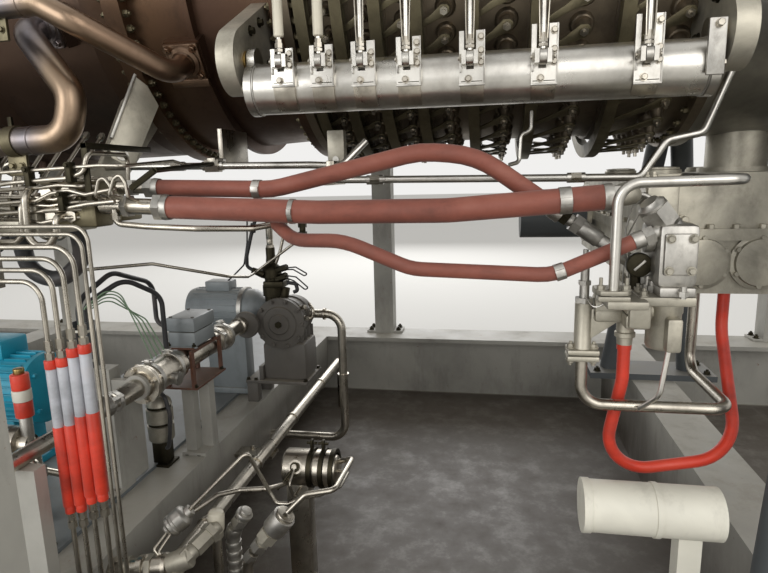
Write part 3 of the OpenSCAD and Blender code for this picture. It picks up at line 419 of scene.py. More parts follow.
def placed(point, up, along=FRONT):
    """Placement at a point, whose Z looks up and whose X leans along."""
    z = Vector(up).normalized()
    side = z.cross(Vector(along))
    if side.length < 0.01:
        side = z.cross(Vector(UP))
    y = side.normalized()
    place = Matrix((y.cross(z), y, z)).transposed().to_4x4()
    place.translation = Vector(point)
    return place


def round_case(x, r, degrees):
    """Point on the engine case, and its way outwards; 0 is on top and 90 on the near side."""
    a = math.radians(degrees)
    out = Vector((0, -math.sin(a), math.cos(a)))
    return Vector((x, 0, AXIS_Z)) + out * r, out


def set_finish(verts, index):
    """Gives the faces of these vertices a finish."""
    for face in {f for v in verts for f in v.link_faces}:
        face.material_index = index


def soften(bm, verts, width, segments=2):
    """Bevels the sharp edges of these vertices."""
    if width <= 0:
        return
    near = dict.fromkeys(e for v in verts for e in v.link_edges)
    edges = [e for e in near if len(e.link_faces) == 2 and e.calc_face_angle() > SHARP]
    bmesh.ops.bevel(bm, geom=edges, offset=width, offset_type="OFFSET", segments=segments, profile=0.5,
                    affect="EDGES", clamp_overlap=True, material=-1)


def bar(bm, a, b, r, r2=None, sides=24, finish=0, edge=0.0):
    """Round bar or cone from a to b; six sides make a hexagon."""
    a, b = Vector(a), Vector(b)
    place = placed((a + b) / 2, b - a)
    made = bmesh.ops.create_cone(bm, cap_ends=True, segments=sides, radius1=r, radius2=r if r2 is None
                                 else r2, depth=(b - a).length, matrix=place)["verts"]
    set_finish(made, finish)
    if edge and sides > 8:
        soften(bm, made, edge)
    return made


def stack(bm, foot, way, steps, edge=0.0, finish=0):
    """Bars along one line, from steps of (from, to, radius, sides) and perhaps a finish."""
    foot, way = Vector(foot), Vector(way)
    for low, high, r, sides, *own in steps:
        bar(bm, foot + way * low, foot + way * high, r, sides=sides, finish=own[0] if own
            else finish, edge=edge)


def hexagon(bm, a, b, r, finish=1):
    """Hexagon bar from a to b."""
    return bar(bm, a, b, r, sides=6, finish=finish)


def block(bm, low, high, edge=1.5, finish=0, place=None):
    """Box between two corners, with softened edges."""
    low, high = Vector(low), Vector(high)
    size = high - low
    matrix = Matrix.Translation((low + high) / 2) @ Matrix.Diagonal((*size, 1.0))
    made = bmesh.ops.create_cube(bm, size=1.0, matrix=(place or Matrix()) @ matrix)["verts"]
    set_finish(made, finish)
    soften(bm, made, min(edge, min(size) * 0.4))
    return made


def plate(bm, outline, thickness, place, finish=0, edge=0.0):
    """Flat plate from an outline in its own X and Y, standing on its own Z."""
    verts = [bm.verts.new(place @ Vector((x, y, 0))) for x, y in outline]
    face = bm.faces.new(verts)
    up = place.to_3x3() @ Vector((0, 0, thickness))
    made = bmesh.ops.extrude_face_region(bm, geom=[face], use_keep_orig=True)["geom"]
    top = [v for v in made if isinstance(v, bmesh.types.BMVert)]
    bmesh.ops.translate(bm, vec=up, verts=top)
    set_finish(verts + top, finish)
    soften(bm, verts + top, edge)
    return verts + top


def turned(bm, outline, start, along, sides=32, finish=0):
    """Turned shape from (distance along, radius): a ring where both ends have one radius, otherwise solid."""
    along = Vector(along).normalized()
    place = placed(start, along, UP if abs(along.z) < 0.9 else FRONT)
    ring = abs(outline[0][1] - outline[-1][1]) < 0.01
    if not ring:
        outline = ((outline[0][0], 0.0), *outline, (outline[-1][0], 0.0))
    verts = [bm.verts.new(place @ Vector((r, 0, x))) for x, r in outline]
    edges = [bm.edges.new(pair) for pair in zip(verts, verts[1:] + verts[:1] if ring else verts[1:])]
    made = bmesh.ops.spin(bm, geom=verts + edges, cent=Vector(start), axis=along, dvec=(0, 0, 0),
                          angle=math.tau, steps=sides, use_merge=True, use_duplicate=False)["geom_last"]
    seen, reach = {}, verts + [v for v in made if isinstance(v, bmesh.types.BMVert)]
    while reach:
        v = reach.pop()
        if v not in seen:
            seen[v] = True
            reach.extend(e.other_vert(v) for e in v.link_edges)
    bmesh.ops.remove_doubles(bm, verts=list(seen), dist=WELD)
    kept = [v for v in seen if v.is_valid]
    set_finish(kept, finish)
    return kept


def hoop(bm, low, high, inner, outer, start, along, sides, finish=0):
    """Square-edged ring between two places along a line."""
    turned(bm, ((low, inner), (low, outer), (high, outer), (high, inner)), start, along, sides, finish)


def rounded(points, bend):
    """Points of a route, with an arc at each corner."""
    points = [Vector(p) for p in points]
    line = [points[0]]
    for before, here, after in zip(points, points[1:], points[2:]):
        a, b = (here - before).normalized(), (after - here).normalized()
        turn = a.angle(b)
        if turn < 0.02:
            line.append(here)
            continue
        cut = min(bend * math.tan(turn / 2), (here - before).length * 0.49, (after - here).length * 0.49)
        r = cut / math.tan(turn / 2)
        start = here - a * cut
        centre = here + (b - a).normalized() * (r / math.cos(turn / 2))
        steps = max(2, math.ceil(math.degrees(turn) / 9))
        for k in range(steps + 1):
            w = turn * k / steps
            line.append(centre + (start - centre) * math.cos(w) + a * (r * math.sin(w)))
    line.append(points[-1])
    return line


def pipes(bm, runs, finish=0, sides=12):
    """Round pipes along routes of (points, radius, bend radius)."""
    curve = bpy.data.curves.new("runs", "CURVE")
    curve.dimensions = "3D"
    curve.bevel_depth = 1.0
    curve.bevel_resolution = max(0, (sides - 4) // 2)
    curve.use_fill_caps = True
    for points, r, bend in runs:
        line = rounded(points, bend)
        spline = curve.splines.new("POLY")
        spline.points.add(len(line) - 1)
        for point, spot in zip(spline.points, line):
            point.co = (*spot, 1.0)
            point.radius = r
    holder = bpy.data.objects.new("runs", curve)
    mesh = bpy.data.meshes.new_from_object(holder)
    for polygon in mesh.polygons:
        polygon.material_index = finish
    bm.from_mesh(mesh)
    bpy.data.objects.remove(holder)
    bpy.data.curves.remove(curve)
    bpy.data.meshes.remove(mesh)


def copies(bm, build, places):
    """Joins one copy of a small shape at each placement."""
    small = bmesh.new()
    build(small)
    bmesh.ops.recalc_face_normals(small, faces=small.faces)
    mesh = bpy.data.meshes.new("small")
    small.to_mesh(mesh)
    small.free()
    for place in places:
        one = mesh.copy()
        one.transform(place)
        bm.from_mesh(one)
        bpy.data.meshes.remove(one)
    bpy.data.meshes.remove(mesh)


def piece(name, bm, finishes, body=ENGINE, stands_for=(), crease=38.0, riding=True):
    """Makes the finished piece, in metres, and lets it ride on its body."""
    bmesh.ops.scale(bm, vec=(MM, MM, MM), verts=bm.verts)
    mesh = bpy.data.meshes.new(name)
    bmesh.ops.recalc_face_normals(bm, faces=bm.faces)
    bm.to_mesh(mesh)
    bm.free()
    if not mesh.polygons:
        raise RuntimeError(name + " has no faces")
    for finish in finishes:
        mesh.materials.append(MATERIALS[finish])
    mesh.shade_smooth()
    mesh.set_sharp_from_angle(angle=math.radians(crease))
    obj = bpy.data.objects.new(name, mesh)
    bpy.context.scene.collection.objects.link(obj)
    if riding:
        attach(obj, body)
    if stands_for:
        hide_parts(*stands_for)
    return obj


def hexbolt(across, height, washer=0.0, stud=0.0):
    """Small hexagon head on a washer, along Z, for copies."""
    def build(bm):
        low = 0.0
        if washer:
            bar(bm, (0, 0, 0), (0, 0, 1.6), washer, sides=12)
            low = 1.5
        bar(bm, (0, 0, low), (0, 0, low + height * 0.85), across / HEX, sides=6)
        bar(bm, (0, 0, low + height * 0.85), (0, 0, low + height), across / HEX, across * 0.47, sides=6)
        if stud:
            bar(bm, (0, 0, low + height), (0, 0, low + height + stud), across * 0.28, sides=8)
    return build


def bolts(bm, spots, across=13.0, height=8.0, washer=None, stud=0.0):
    """Hexagon bolts at (point, way out)."""
    build = hexbolt(across, height, across * 0.78 if washer is None else washer, stud)
    turn = random.Random(7)
    copies(bm, build, [placed(p, out) @ Matrix.Rotation(turn.random(), 4, "Z") for p, out in spots])


def crossings(xs, ys, z, way=UP):
    """Spots for bolts where lines at xs cross lines at ys."""
    return [((x, y, z), way) for x in xs for y in ys]


def ring_of(x, r, count, way, start=0.0):
    """Spots on a flange face round the engine axis, looking along X."""
    return [(round_case(x, r, start + 360.0 * k / count)[0], (way, 0, 0)) for k in range(count)]


# Cords

def free_hose(name, route, finish, node):
    """A hose or cable along its route."""
    points, r, bend = route
    line = [p * MM for p in rounded(points, bend)]
    curve = bpy.data.curves.new(name, "CURVE")
    curve.dimensions = "3D"
    curve.bevel_depth = r * MM
    curve.bevel_resolution = 8
    curve.use_fill_caps = True
    spline = curve.splines.new("POLY")
    spline.points.add(len(line) - 1)
    for point, spot in zip(spline.points, line):
        point.co = (*spot, 1.0)
    spline.use_smooth = True
    curve.materials.append(MATERIALS[finish])
    obj = bpy.data.objects.new(name, curve)
    bpy.context.scene.collection.objects.link(obj)
    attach(obj, ENGINE)
    if node:
        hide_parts(*node)
    return obj


def band(bm, route, share, width, rise, finish=0):
    """Clamp band round a hose, at a share of its length."""
    points, r, bend = route
    line = rounded(points, bend)
    steps = [(b - a).length for a, b in zip(line, line[1:])]
    goal = sum(steps) * share
    for a, b, step in zip(line, line[1:], steps):
        if goal <= step:
            break
        goal -= step
    along = (b - a).normalized()
    centre = a + along * goal
    hoop(bm, -width / 2, width / 2, r - 1, r + rise, centre, along, 28, finish)
    out = placed(centre, NEAR, along)
    block(bm, (-width / 2, -6, r), (width / 2, 6, r + rise + 3), 1, finish, out)


class TURBINE_OT_hoses(bpy.types.Operator):
    """The red-brown hoses with their bands, the red hose and the cables"""

    bl_idname = "turbine.hoses"
    bl_label = "Hoses and cables"

    def execute(self, context):
        bm = bmesh.new()
        for route, share, width in ((HOSE_A, 0.27, 16), (HOSE_B, 0.92, 20), (HOSE_B, 0.318, 9),
                                    (HOSE_C, 0.86, 16)):
            band(bm, route, share, width, 1.6)
        bands = piece("hose_bands", bm, ["silver_alloy"])
        free_hose("hose_upper_sleeve", HOSE_A, "hose_sleeve", ["hose_upper"])
        free_hose("hose_middle_sleeve", HOSE_B, "hose_sleeve", ["hose_middle"])
        free_hose("hose_lower_sleeve", HOSE_C, "hose_sleeve", ["hose_lower"])
        free_hose("red_hose_sleeve", RED_HOSE, "red_sleeve", ["red_hose"])
        free_hose("motor_cable_a", CABLE_A, "black_rubber", ["motor_cables"])
        free_hose("motor_cable_b", CABLE_B, "black_rubber", ())
        return {"FINISHED"}


CAD_FINISHES = {
    "base_paint": ("base_frame", "cross_beam", "bay_frame_near", "bay_frame_far", "bay_cross_ties",
                   "pipe_stands"),
    "deck_paint": ("deck_plate",),
    "dark_paint": ("front_support", "rear_support", "starter_and_pumps", "cable_tray"),
    "machined_alloy": ("inlet_bellmouth", "inlet_centre_body", "front_frame"),
    "case_steel": ("compressor_front_case",),
    "heated_steel": ("compressor_rear_case", "combustor_case", "turbine_case", "turbine_mid_frame",
                     "power_turbine_case",
                     "turbine_rear_frame", "exhaust_cone"),
    "cast_alloy": ("accessory_gearbox", "shaft_bearing_brackets", "fuel_valve"),
    "bright_steel": ("vane_shaft", "output_shaft") + tuple(f"vane_link_{i}" for i in range(1, 8)),
    "ring_steel": tuple(f"vane_ring_{i}" for i in range(1, 8)),
    "bleed_steel": ("bleed_pipe_upper", "bleed_pipe_lower"),
    "tube_steel": ("hose_manifold", "valve_pipe", "fuel_pipe", "floor_pipes", "sleeved_tubes"),
    "white_plastic": ("white_drain_pipe",),
    "primer": ("clamp_frame",),
    "grey_paint": ("junction_box", "pump_motor"),
    "cast_iron": ("pump_casing",),
    "turquoise": ("side_motor",),
    "hose_sleeve": ("hose_upper", "hose_middle", "hose_lower"),
    "black_rubber": ("motor_cables",),
    "red_sleeve": ("red_hose",),
}


class TURBINE_OT_finishes(bpy.types.Operator):
    """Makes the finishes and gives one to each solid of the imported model"""

    bl_idname = "turbine.finishes"
    bl_label = "Finishes"

    def execute(self, context):
        build_materials(context.scene.turbine_colours)
        done = set()
        for finish, nodes in CAD_FINISHES.items():
            for node in nodes:
                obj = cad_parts[node]
                if not obj.material_slots:
                    obj.data.materials.append(None)
                for material_slot in obj.material_slots:
                    material_slot.material = MATERIALS[finish]
                done.add(node)
        missing = set(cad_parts) - done
        if missing:
            raise RuntimeError("nodes without a finish: " + ", ".join(sorted(missing)))
        return {"FINISHED"}


# Vane gear

# Turns an outline in X and Y so that it faces along the engine
FACING_X = Matrix(((0, 0, 1, 0), (1, 0, 0, 0), (0, 1, 0, 0), (0, 0, 0, 1)))

ROW_COUNTS = (56, 55, 54, 52, 50, 46, 44)


class TURBINE_OT_vane_rows(bpy.types.Operator):
    """Bosses, spindles, nuts and levers of the seven vane rows"""

    bl_idname = "turbine.vane_rows"
    bl_label = "Vane rows"

    def execute(self, context):
        sizes = context.scene.turbine_sizes
        for i, (ring_x, spindle_x, count) in enumerate(zip(STAGE_XS, SPINDLE_XS, ROW_COUNTS)):
            length = spindle_x - ring_x
            boss_r = min(sizes.boss_r, 13.5 + i * 2.4)
            angles = [360.0 * (k + 0.5) / count for k in range(count)]
            feet = [placed(*round_case(spindle_x, COMP_R - 3, a)) for a in angles]

            def boss(bm):
                turned(bm, ((0, boss_r + 3), (8, boss_r + 2), (11, boss_r), (17, boss_r), (20, boss_r - 3),
                            (18, boss_r - 8), (36, boss_r * 0.45), (43.6, boss_r * 0.45)), (0, 0, 0), UP, 14)

            def nut(bm):
                bar(bm, (0, 0, 48), (0, 0, 56), 8 + i * 0.3, sides=6)
                bar(bm, (0, 0, 56), (0, 0, 66), 4.5, sides=8)

            bm = bmesh.new()
            copies(bm, boss, feet)
            piece(f"vane_bosses_{i + 1}", bm, ["case_steel"])
            bm = bmesh.new()
            copies(bm, nut, feet)
            piece(f"spindle_nuts_{i + 1}", bm, ["tube_steel"])

            def lever(bm):
                wide, thin = boss_r * 0.62, 5.5
                outline = [(-length, -thin), (-length - 5, 0), (-length, thin), (-length * 0.45, thin + 2),
                           (0, wide), (wide * 0.8, wide * 0.55), (wide, 0), (wide * 0.8, -wide * 0.55),
                           (0, -wide), (-length * 0.45, -thin - 2)]
                plate(bm, outline, 4.5, Matrix.Translation((0, 0, 43.5)), edge=0.8)
                bar(bm, (-length, 0, 35), (-length, 0, 54), 4, sides=8)

            places = []
            for a in angles:
                point, out = round_case(spindle_x, COMP_R - 3, a)
                tangent = Vector((0, math.cos(math.radians(a)), math.sin(math.radians(a))))
                lean = Vector(FRONT) + tangent * sizes.lever_skew * (1 if i != 4 else 1.1)
                places.append(placed(point, out, lean))
            bm = bmesh.new()
            copies(bm, lever, places)
            levers = piece(f"vane_levers_{i + 1}", bm, ["ring_steel"], riding=False)
            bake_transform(levers)
        return {"FINISHED"}


def low_pin(i):
    """Lower pin of link i."""
    share = (STAGE_XS[i] - STAGE_XS[0]) / (STAGE_XS[-1] - STAGE_XS[0])
    return Vector((STAGE_XS[i], PIVOT_Y - 60 - 10 * share, PIVOT_Z - 15 - 28 * share)), share


def build_shaft_plates():
    """Bolts, pin nuts, bracket plates and weld rings that turn with the vane shaft."""
    front_y = PIVOT_Y - TUBE_R - 8
    bm, plates = bmesh.new(), bmesh.new()
    spots = []
    for i in range(7):
        p, share = low_pin(i)
        top = p.z + 24 + 46 * share
        spots += [((p.x - 3, front_y, p.z - 36), NEAR), ((p.x + 20.5, front_y, p.z - 8), NEAR),
                  ((p.x + 20.5, front_y, p.z + 13), NEAR)]
        if share > 0.3:
            spots.append(((p.x + 20, front_y, top - 12), NEAR))
        for s in (-1, 1):
            bar(bm, p + Vector((s * 14, 0, 0)), p + Vector((s * 19, 0, 0)), 7.5, sides=6)
            bar(bm, p + Vector((s * 19, 0, 0)), p + Vector((s * 22, 0, 0)), 4, sides=10)
        block(plates, (p.x - 20.5, front_y - 2.5, p.z - 48.5), (p.x + 27.5, front_y + 1, p.z - 44), 0.8)
        block(plates, (p.x + 24.5, front_y - 3, p.z - 46), (p.x + 27.5, front_y + 1, top), 0.8)
        block(plates, (p.x - 19, front_y - 4, p.z - 24), (p.x - 15.2, front_y + 1, p.z - 12), 0.8)
        block(plates, (p.x - 17, front_y - 0.6, p.z - 41.5), (p.x + 23, front_y + 1, p.z - 40), 0.3, 1)
        turns = [math.radians(8 * k - 4) for k in range(9)]
        outline = [(PIVOT_Y - r * math.cos(a), TUBE_Z - r * math.sin(a))
                   for r, way in ((TUBE_R + 6, 1), (TUBE_R - 2, -1)) for a in turns[::way]]
        plate(plates, outline, 44, Matrix.Translation((p.x - 18.5, 0, 0)) @ FACING_X, 2, 0.8)
    bolts(bm, spots, 10, 6, 7.5)
    spots = []
    for x, way in ((SHAFT_X1 + 16, FRONT), (SHAFT_X0 - 16, REAR)):
        spots += [((x, PIVOT_Y + y, z), way) for y, z in ((-34, TUBE_Z), (34, TUBE_Z), (0, TUBE_Z - 34))]
    bolts(bm, spots, 13, 8)
    block(plates, (SHAFT_X1 - 14, front_y - 3, 1462), (SHAFT_X1 + 15, front_y + 5, 1556), 1.5)
    bolts(bm, [((SHAFT_X1 + 2, front_y - 3, 1546), NEAR)], 12, 8, 8)
    for x, way in ((SHAFT_X0 - 16, -1), (SHAFT_X1 + 16, 1)):
        turned(bm, ((0, 14), (way * 3, 16), (way * 5, 14)), (x, PIVOT_Y, PIVOT_Z), FRONT, 24)
    piece("vane_shaft_bolts", bm, ["tube_steel"], SHAFT)
    for x in (SHAFT_X0 + 2, SHAFT_X1 - 2):
        turned(plates, ((-2.5, TUBE_R), (-1, TUBE_R + 2), (1, TUBE_R + 2), (2.5, TUBE_R)),
               (x, PIVOT_Y, TUBE_Z), FRONT, 40)
    piece("bracket_rims", plates, ["silver_alloy", "dark_steel", "tube_steel"], SHAFT)


def build_link_nuts():
    """Nuts of the seven links, with cream sleeves or lock wires."""
    sizes = bpy.context.scene.turbine_sizes
    for i in range(7):
        p = low_pin(i)[0]
        top = Vector((p.x, -600, AXIS_Z))
        way = (top - p).normalized()
        bm = bmesh.new()
        stack(bm, p, way, ((17, 22, 9, 6), (24, 33, 8.6, 6), (33, 40, 7, 6)))
        stack(bm, top, -way, ((20, 28, 10, 6), (30, 36, 8.5, 6)))
        if i < 2:
            turned(bm, ((0, 6), (2, 9.5), (4, 10), (150, 10), (212, 9.5), (214, 6)), p + way * 44, way, 20, 1)
        else:
            for s in (-1, 1):
                route = [p + way * 30 + Vector((s * 6.5, -6, 0)), p + way * 60 + Vector((s * 7.5, -7, 0)),
                         p + way * 150 + Vector((s * (9 + 2 * (i % 2)), -7, 0)),
                         top - way * 34 + Vector((s * 6.0, -5, 0))]
                pipes(bm, [(route, sizes.wire_r, 40)], 0, 6)
        piece(f"link_nuts_{i + 1}", bm, ["tube_steel", "cream_paint"], f"vane_link_{i + 1}")


def build_bearing_bushes():
    """Brass bushes of the shaft's bearings."""
    bm = bmesh.new()
    for x, way in ((1012, 1), (1925, -1)):
        turned(bm, ((0, 12.3), (0, 21), (way * 2, 22), (way * 5, 22), (way * 5, 12.3)),
               (x, PIVOT_Y, PIVOT_Z), FRONT, 32)
    piece("bearing_bushes", bm, ["brass"])


def build_bearing_bracket_bolts():
    """Bolts of the bearing brackets' feet."""
    bm = bmesh.new()
    spots = []
    for x0 in (974, 1925):
        for k, r in ((-46, 560), (46, 560), (-46, 500), (46, 500)):
            a = math.degrees(math.atan2(-PIVOT_Y, PIVOT_Z - AXIS_Z))
            out = round_case(0, 1, a)[1]
            side = Vector((0, -out.z, out.y))
            point = Vector((0, 0, AXIS_Z)) + out * r + side * k
            spots += [((x0, point.y, point.z), REAR), ((x0 + 38, point.y, point.z), FRONT)]
    bolts(bm, spots, 14, 9)
    piece("bearing_bracket_bolts", bm, ["dark_steel"])


class TURBINE_OT_vane_shaft(bpy.types.Operator):
    """Bolts, pin nuts and weld rings of the vane shaft, and the nuts and wires of its links"""

    bl_idname = "turbine.vane_shaft"
    bl_label = "Vane shaft"

    def execute(self, context):
        build_shaft_plates()
        build_link_nuts()
        build_bearing_bushes()
        build_bearing_bracket_bolts()
        return {"FINISHED"}


# Flanges of the casings: place, then way and radius of the bolts on each face
FLANGES = (
    (COMP_X0, (1, 462), (-1, 462)), (COMP_X1, (1, 459), (-1, 459)), (COMP_X2, (-1, 459), (1, 464)),
    (FRONT_X, (-1, 464), (1, 463)), (BURNER_X, (1, 471), (-1, 458)), (TURBINE_X, (1, 443), (-1, 443)),
    (MID_X, (1, 571), (-1, 572)), (POWER_X, (1, 702), (-1, 702)), (REAR_X, (1, 702)),
)


def build_casing_bolts():
    """Rings of bolts on both faces of every casing flange."""
    sizes = bpy.context.scene.turbine_sizes
    bm = bmesh.new()
    spots = []
    for x, *faces in FLANGES:
        for way, r in faces:
            pitch = sizes.bolt_pitch * (1.0 if 600 < x < 1100 else 1.7)
            spots += ring_of(x + way * RIM_T, r, round(math.tau * r / pitch), way, 3.0)
    bolts(bm, spots, sizes.bolt_across, 9, 9.5, 5)
    piece("casing_bolts", bm, ["ring_steel"])


def build_split_line_bolts():
    """Bolts along the split lines of the compressor cases."""
    bm = bmesh.new()
    spots = []
    for x0, x1, r in ((COMP_X1 + 46, COMP_X2 - 40, 460), (COMP_X0 + 46, COMP_X1 - 50, 454)):
        count = round((x1 - x0) / 46)
        for k in range(count + 1):
            x = x0 + (x1 - x0) * k / count
            if min(abs(x - s) for s in STAGE_XS) > 24:
                for y in (-1, 1):
                    for z in (-1, 1):
                        spots.append(((x, y * (r - 8), AXIS_Z + z * 26), (0, 0, z)))
    bolts(bm, spots, 13, 8, 8, 4)
    piece("split_line_bolts", bm, ["dark_steel"])


class TURBINE_OT_flange_bolts(bpy.types.Operator):
    """Rings of bolts on the flanges of the casings"""

    bl_idname = "turbine.flange_bolts"
    bl_label = "Flange bolts"

    def execute(self, context):
        build_casing_bolts()
        build_split_line_bolts()
        return {"FINISHED"}


# Pipes

PAD_OUT = Vector((0, -math.cos(math.radians(33)), -math.sin(math.radians(33))))
PAD_FOOT = Vector((800, 0, AXIS_Z)) + PAD_OUT * 470
BURNER_OUT = Vector((0, -math.cos(math.radians(21)), -math.sin(math.radians(21))))
BURNER_FOOT = Vector((480, 0, AXIS_Z)) + BURNER_OUT * 495


def mid_pad(degrees, r):
    """Point over a pad of the turbine mid frame."""
    return round_case(MID_X + 150, r, degrees)[0]


BLEED_A = ((PAD_FOOT, PAD_FOOT + PAD_OUT * 80, (669, -610, 1628), (592, -612, 1671),
            (300, -612, 1664), mid_pad(112.5, 686),
            mid_pad(112.5, 596)), 26, 55)
BLEED_B = ((BURNER_FOOT, BURNER_FOOT + BURNER_OUT * 62, (622, -575, 1490), (600, -580, 1400),
            (430, -580, 1396),
            (-380, -520, 1290), mid_pad(157.5, 706), mid_pad(157.5, 596)), 31, 58)


def build_bleed_pipes():
    """Both bleed pipes as smooth bends."""
    for name, route, node in (("bleed_pipe_a", BLEED_A, "bleed_pipe_upper"),
                              ("bleed_pipe_b", BLEED_B, "bleed_pipe_lower")):
        bm = bmesh.new()
        pipes(bm, [route], sides=32)
        piece(name, bm, ["bleed_steel"], stands_for=(node,))


def build_bleed_pads():
    """Square pads of the bleed pipes, with bolts and weld rings."""
    bm = bmesh.new()
    for foot, out, half, r in ((PAD_FOOT, PAD_OUT, 43, 27), (BURNER_FOOT, BURNER_OUT, 46, 32)):
        flat = placed(foot, out)
        block(bm, (-half, -half, -1), (half, half, 13), 4, 0, flat)
        turned(bm, ((12, r + 12), (17, r + 10), (20, r + 2), (26, r)), foot, out, 32)
        spots = [(flat @ Vector((x * (half - 11), y * (half - 11), 13)), out) for x in (-1, 1)
                 for y in (-1, 1)]
        bolts(bm, spots, 14, 9, 10, 4)
    block(bm, (-50, -60, 6), (46, -40, 16), 2, 0, placed(PAD_FOOT, PAD_OUT))
    for point, along, r in (((560, -612, 1671), FRONT, 26), ((520, -580, 1398), FRONT, 31),
                            ((360, -612, 1666), FRONT, 26), ((300, -572, 1381), (1, 0, 0.13), 31),
                            ((0, -550, 1341), (1, 0, 0.13), 31)):
        turned(bm, ((-3, r - 1), (-1.5, r + 1.8), (1.5, r + 1.8), (3, r - 1)), point, along, 32)
    piece("bleed_pads", bm, ["bleed_steel"])


def build_bleed_clamps():
    """Clamps that hold the bleed pipes."""
    bm = bmesh.new()
    for x, y, z, r in ((493, -612, 1670, 26), (470, -580, 1397, 31), (40, -612, 1655, 26),
                       (120, -560, 1352, 31)):
        hoop(bm, -13, 13, r, r + 3, (x, y, z), (1, 0, 0.05), 28)
        block(bm, (x - 24, y - 4, z - r - 44), (x + 24, y + 4, z - r + 2), 1.5)
        bolts(bm, [((x - 12, y - 4, z - r - 22), NEAR), ((x + 12, y - 4, z - r - 22), NEAR)], 11, 6)
    piece("bleed_clamps", bm, ["ring_steel"])


class TURBINE_OT_bleed_pipes(bpy.types.Operator):
    """Smooth bleed pipes with their square pads, clamps and weld rings"""

    bl_idname = "turbine.bleed_pipes"
    bl_label = "Bleed pipes"

    def execute(self, context):
        build_bleed_pipes()
        build_bleed_pads()
        build_bleed_clamps()
        return {"FINISHED"}


def build_manifold_block():
    """Blocks, collars and nipples behind the hoses, and the hanger plate."""
    bm = bmesh.new()
    x1 = MANIFOLD_X1
    # Painted shade: the three blocks take the darker olive ring finish so that they look shadowed behind the
    # hoses.
    block(bm, (HANGER_X + 12, -716, 1262), (x1 - 60, -570, 1306), 6, 3)
    block(bm, (HANGER_X + 12, -718, 1215), (x1 - 30, -660, 1261), 6, 3)
    block(bm, (HANGER_X + 30, -650, 1222), (x1 - 20, -575, 1256), 4, 3)
    for x in (656, 700):
        turned(bm, ((0, 17), (7, 17), (9, 13), (15, 12)), (x, -716, 1284), NEAR, 24, 0)
        bar(bm, (x, -717, 1238), (x, -727, 1238), 13, sides=6)
    for y in (-715, -650, -590):
        bolts(bm, [((HANGER_X + 40, y, 1306), UP), ((x1 - 80, y, 1306), UP)], 13, 8)
    for route in (HOSE_A, HOSE_B, HOSE_C):
        points, r = route[0], route[1]
        start = Vector(points[0])
        back = (start - Vector(points[1])).normalized()
        run = (start.x - x1) + 24
        turned(bm, ((-12, r + 2.0), (0, r + 3.5), (3, r + 2.0)), start, back, 28, 1)
        half = run * 0.55
        stack(bm, start, back, ((0, 17, (r + 3) * 1.1, 6, 1), (17, half, r * 0.72, 20),
                                (half, half + 12, r * 1.05, 6, 1), (half + 12, run, r * 0.8, 20)))
    place = Matrix.Translation((HANGER_X, 0, 0)) @ FACING_X
    outline = [(-250, 1455), (-330, 1540), (-400, 1500), (-520, 1340), (-735, 1270), (-735, 1200),
               (-560, 1200)]
    plate(bm, outline, 12, place, 2, 1.5)
    block(bm, (510, -735, 1205), (HANGER_X, -710, 1230), 2, 2)
    block(bm, (498, -830, 1090), (510, -705, 1235), 2, 2)
    piece("manifold_block", bm, ["tube_steel", "silver_alloy", "cast_alloy", "ring_steel"],
          stands_for=("hose_manifold",))


def build_case_brackets():
    """Tilted plate and bracket under the compressor case."""
    bm = bmesh.new()
    place = placed((684, -440, 1474), (0.66, -0.66, 0.2), (0.52, 0.1, 1))
    plate(bm, [(-142, -20), (-128, -38), (30, -44), (64, -6), (72, 24), (-112, 26), (-138, 12)], 4,
          place, 0, 1)
    block(bm, (-96, 24, -4), (74, 31, 14), 1.5, 1, place)
    hoop(bm, 0, 5, 9, 14, place @ Vector((-122, -6, 3)), place.to_3x3() @ Vector(UP), 24, 1)
    block(bm, (1120, -330, 1318), (1162, -300, 1415), 2, 0)
    bar(bm, (1141, -334, 1345), (1141, -296, 1345), 8, sides=16, finish=1)
    piece("case_brackets", bm, ["cast_alloy", "silver_alloy"])


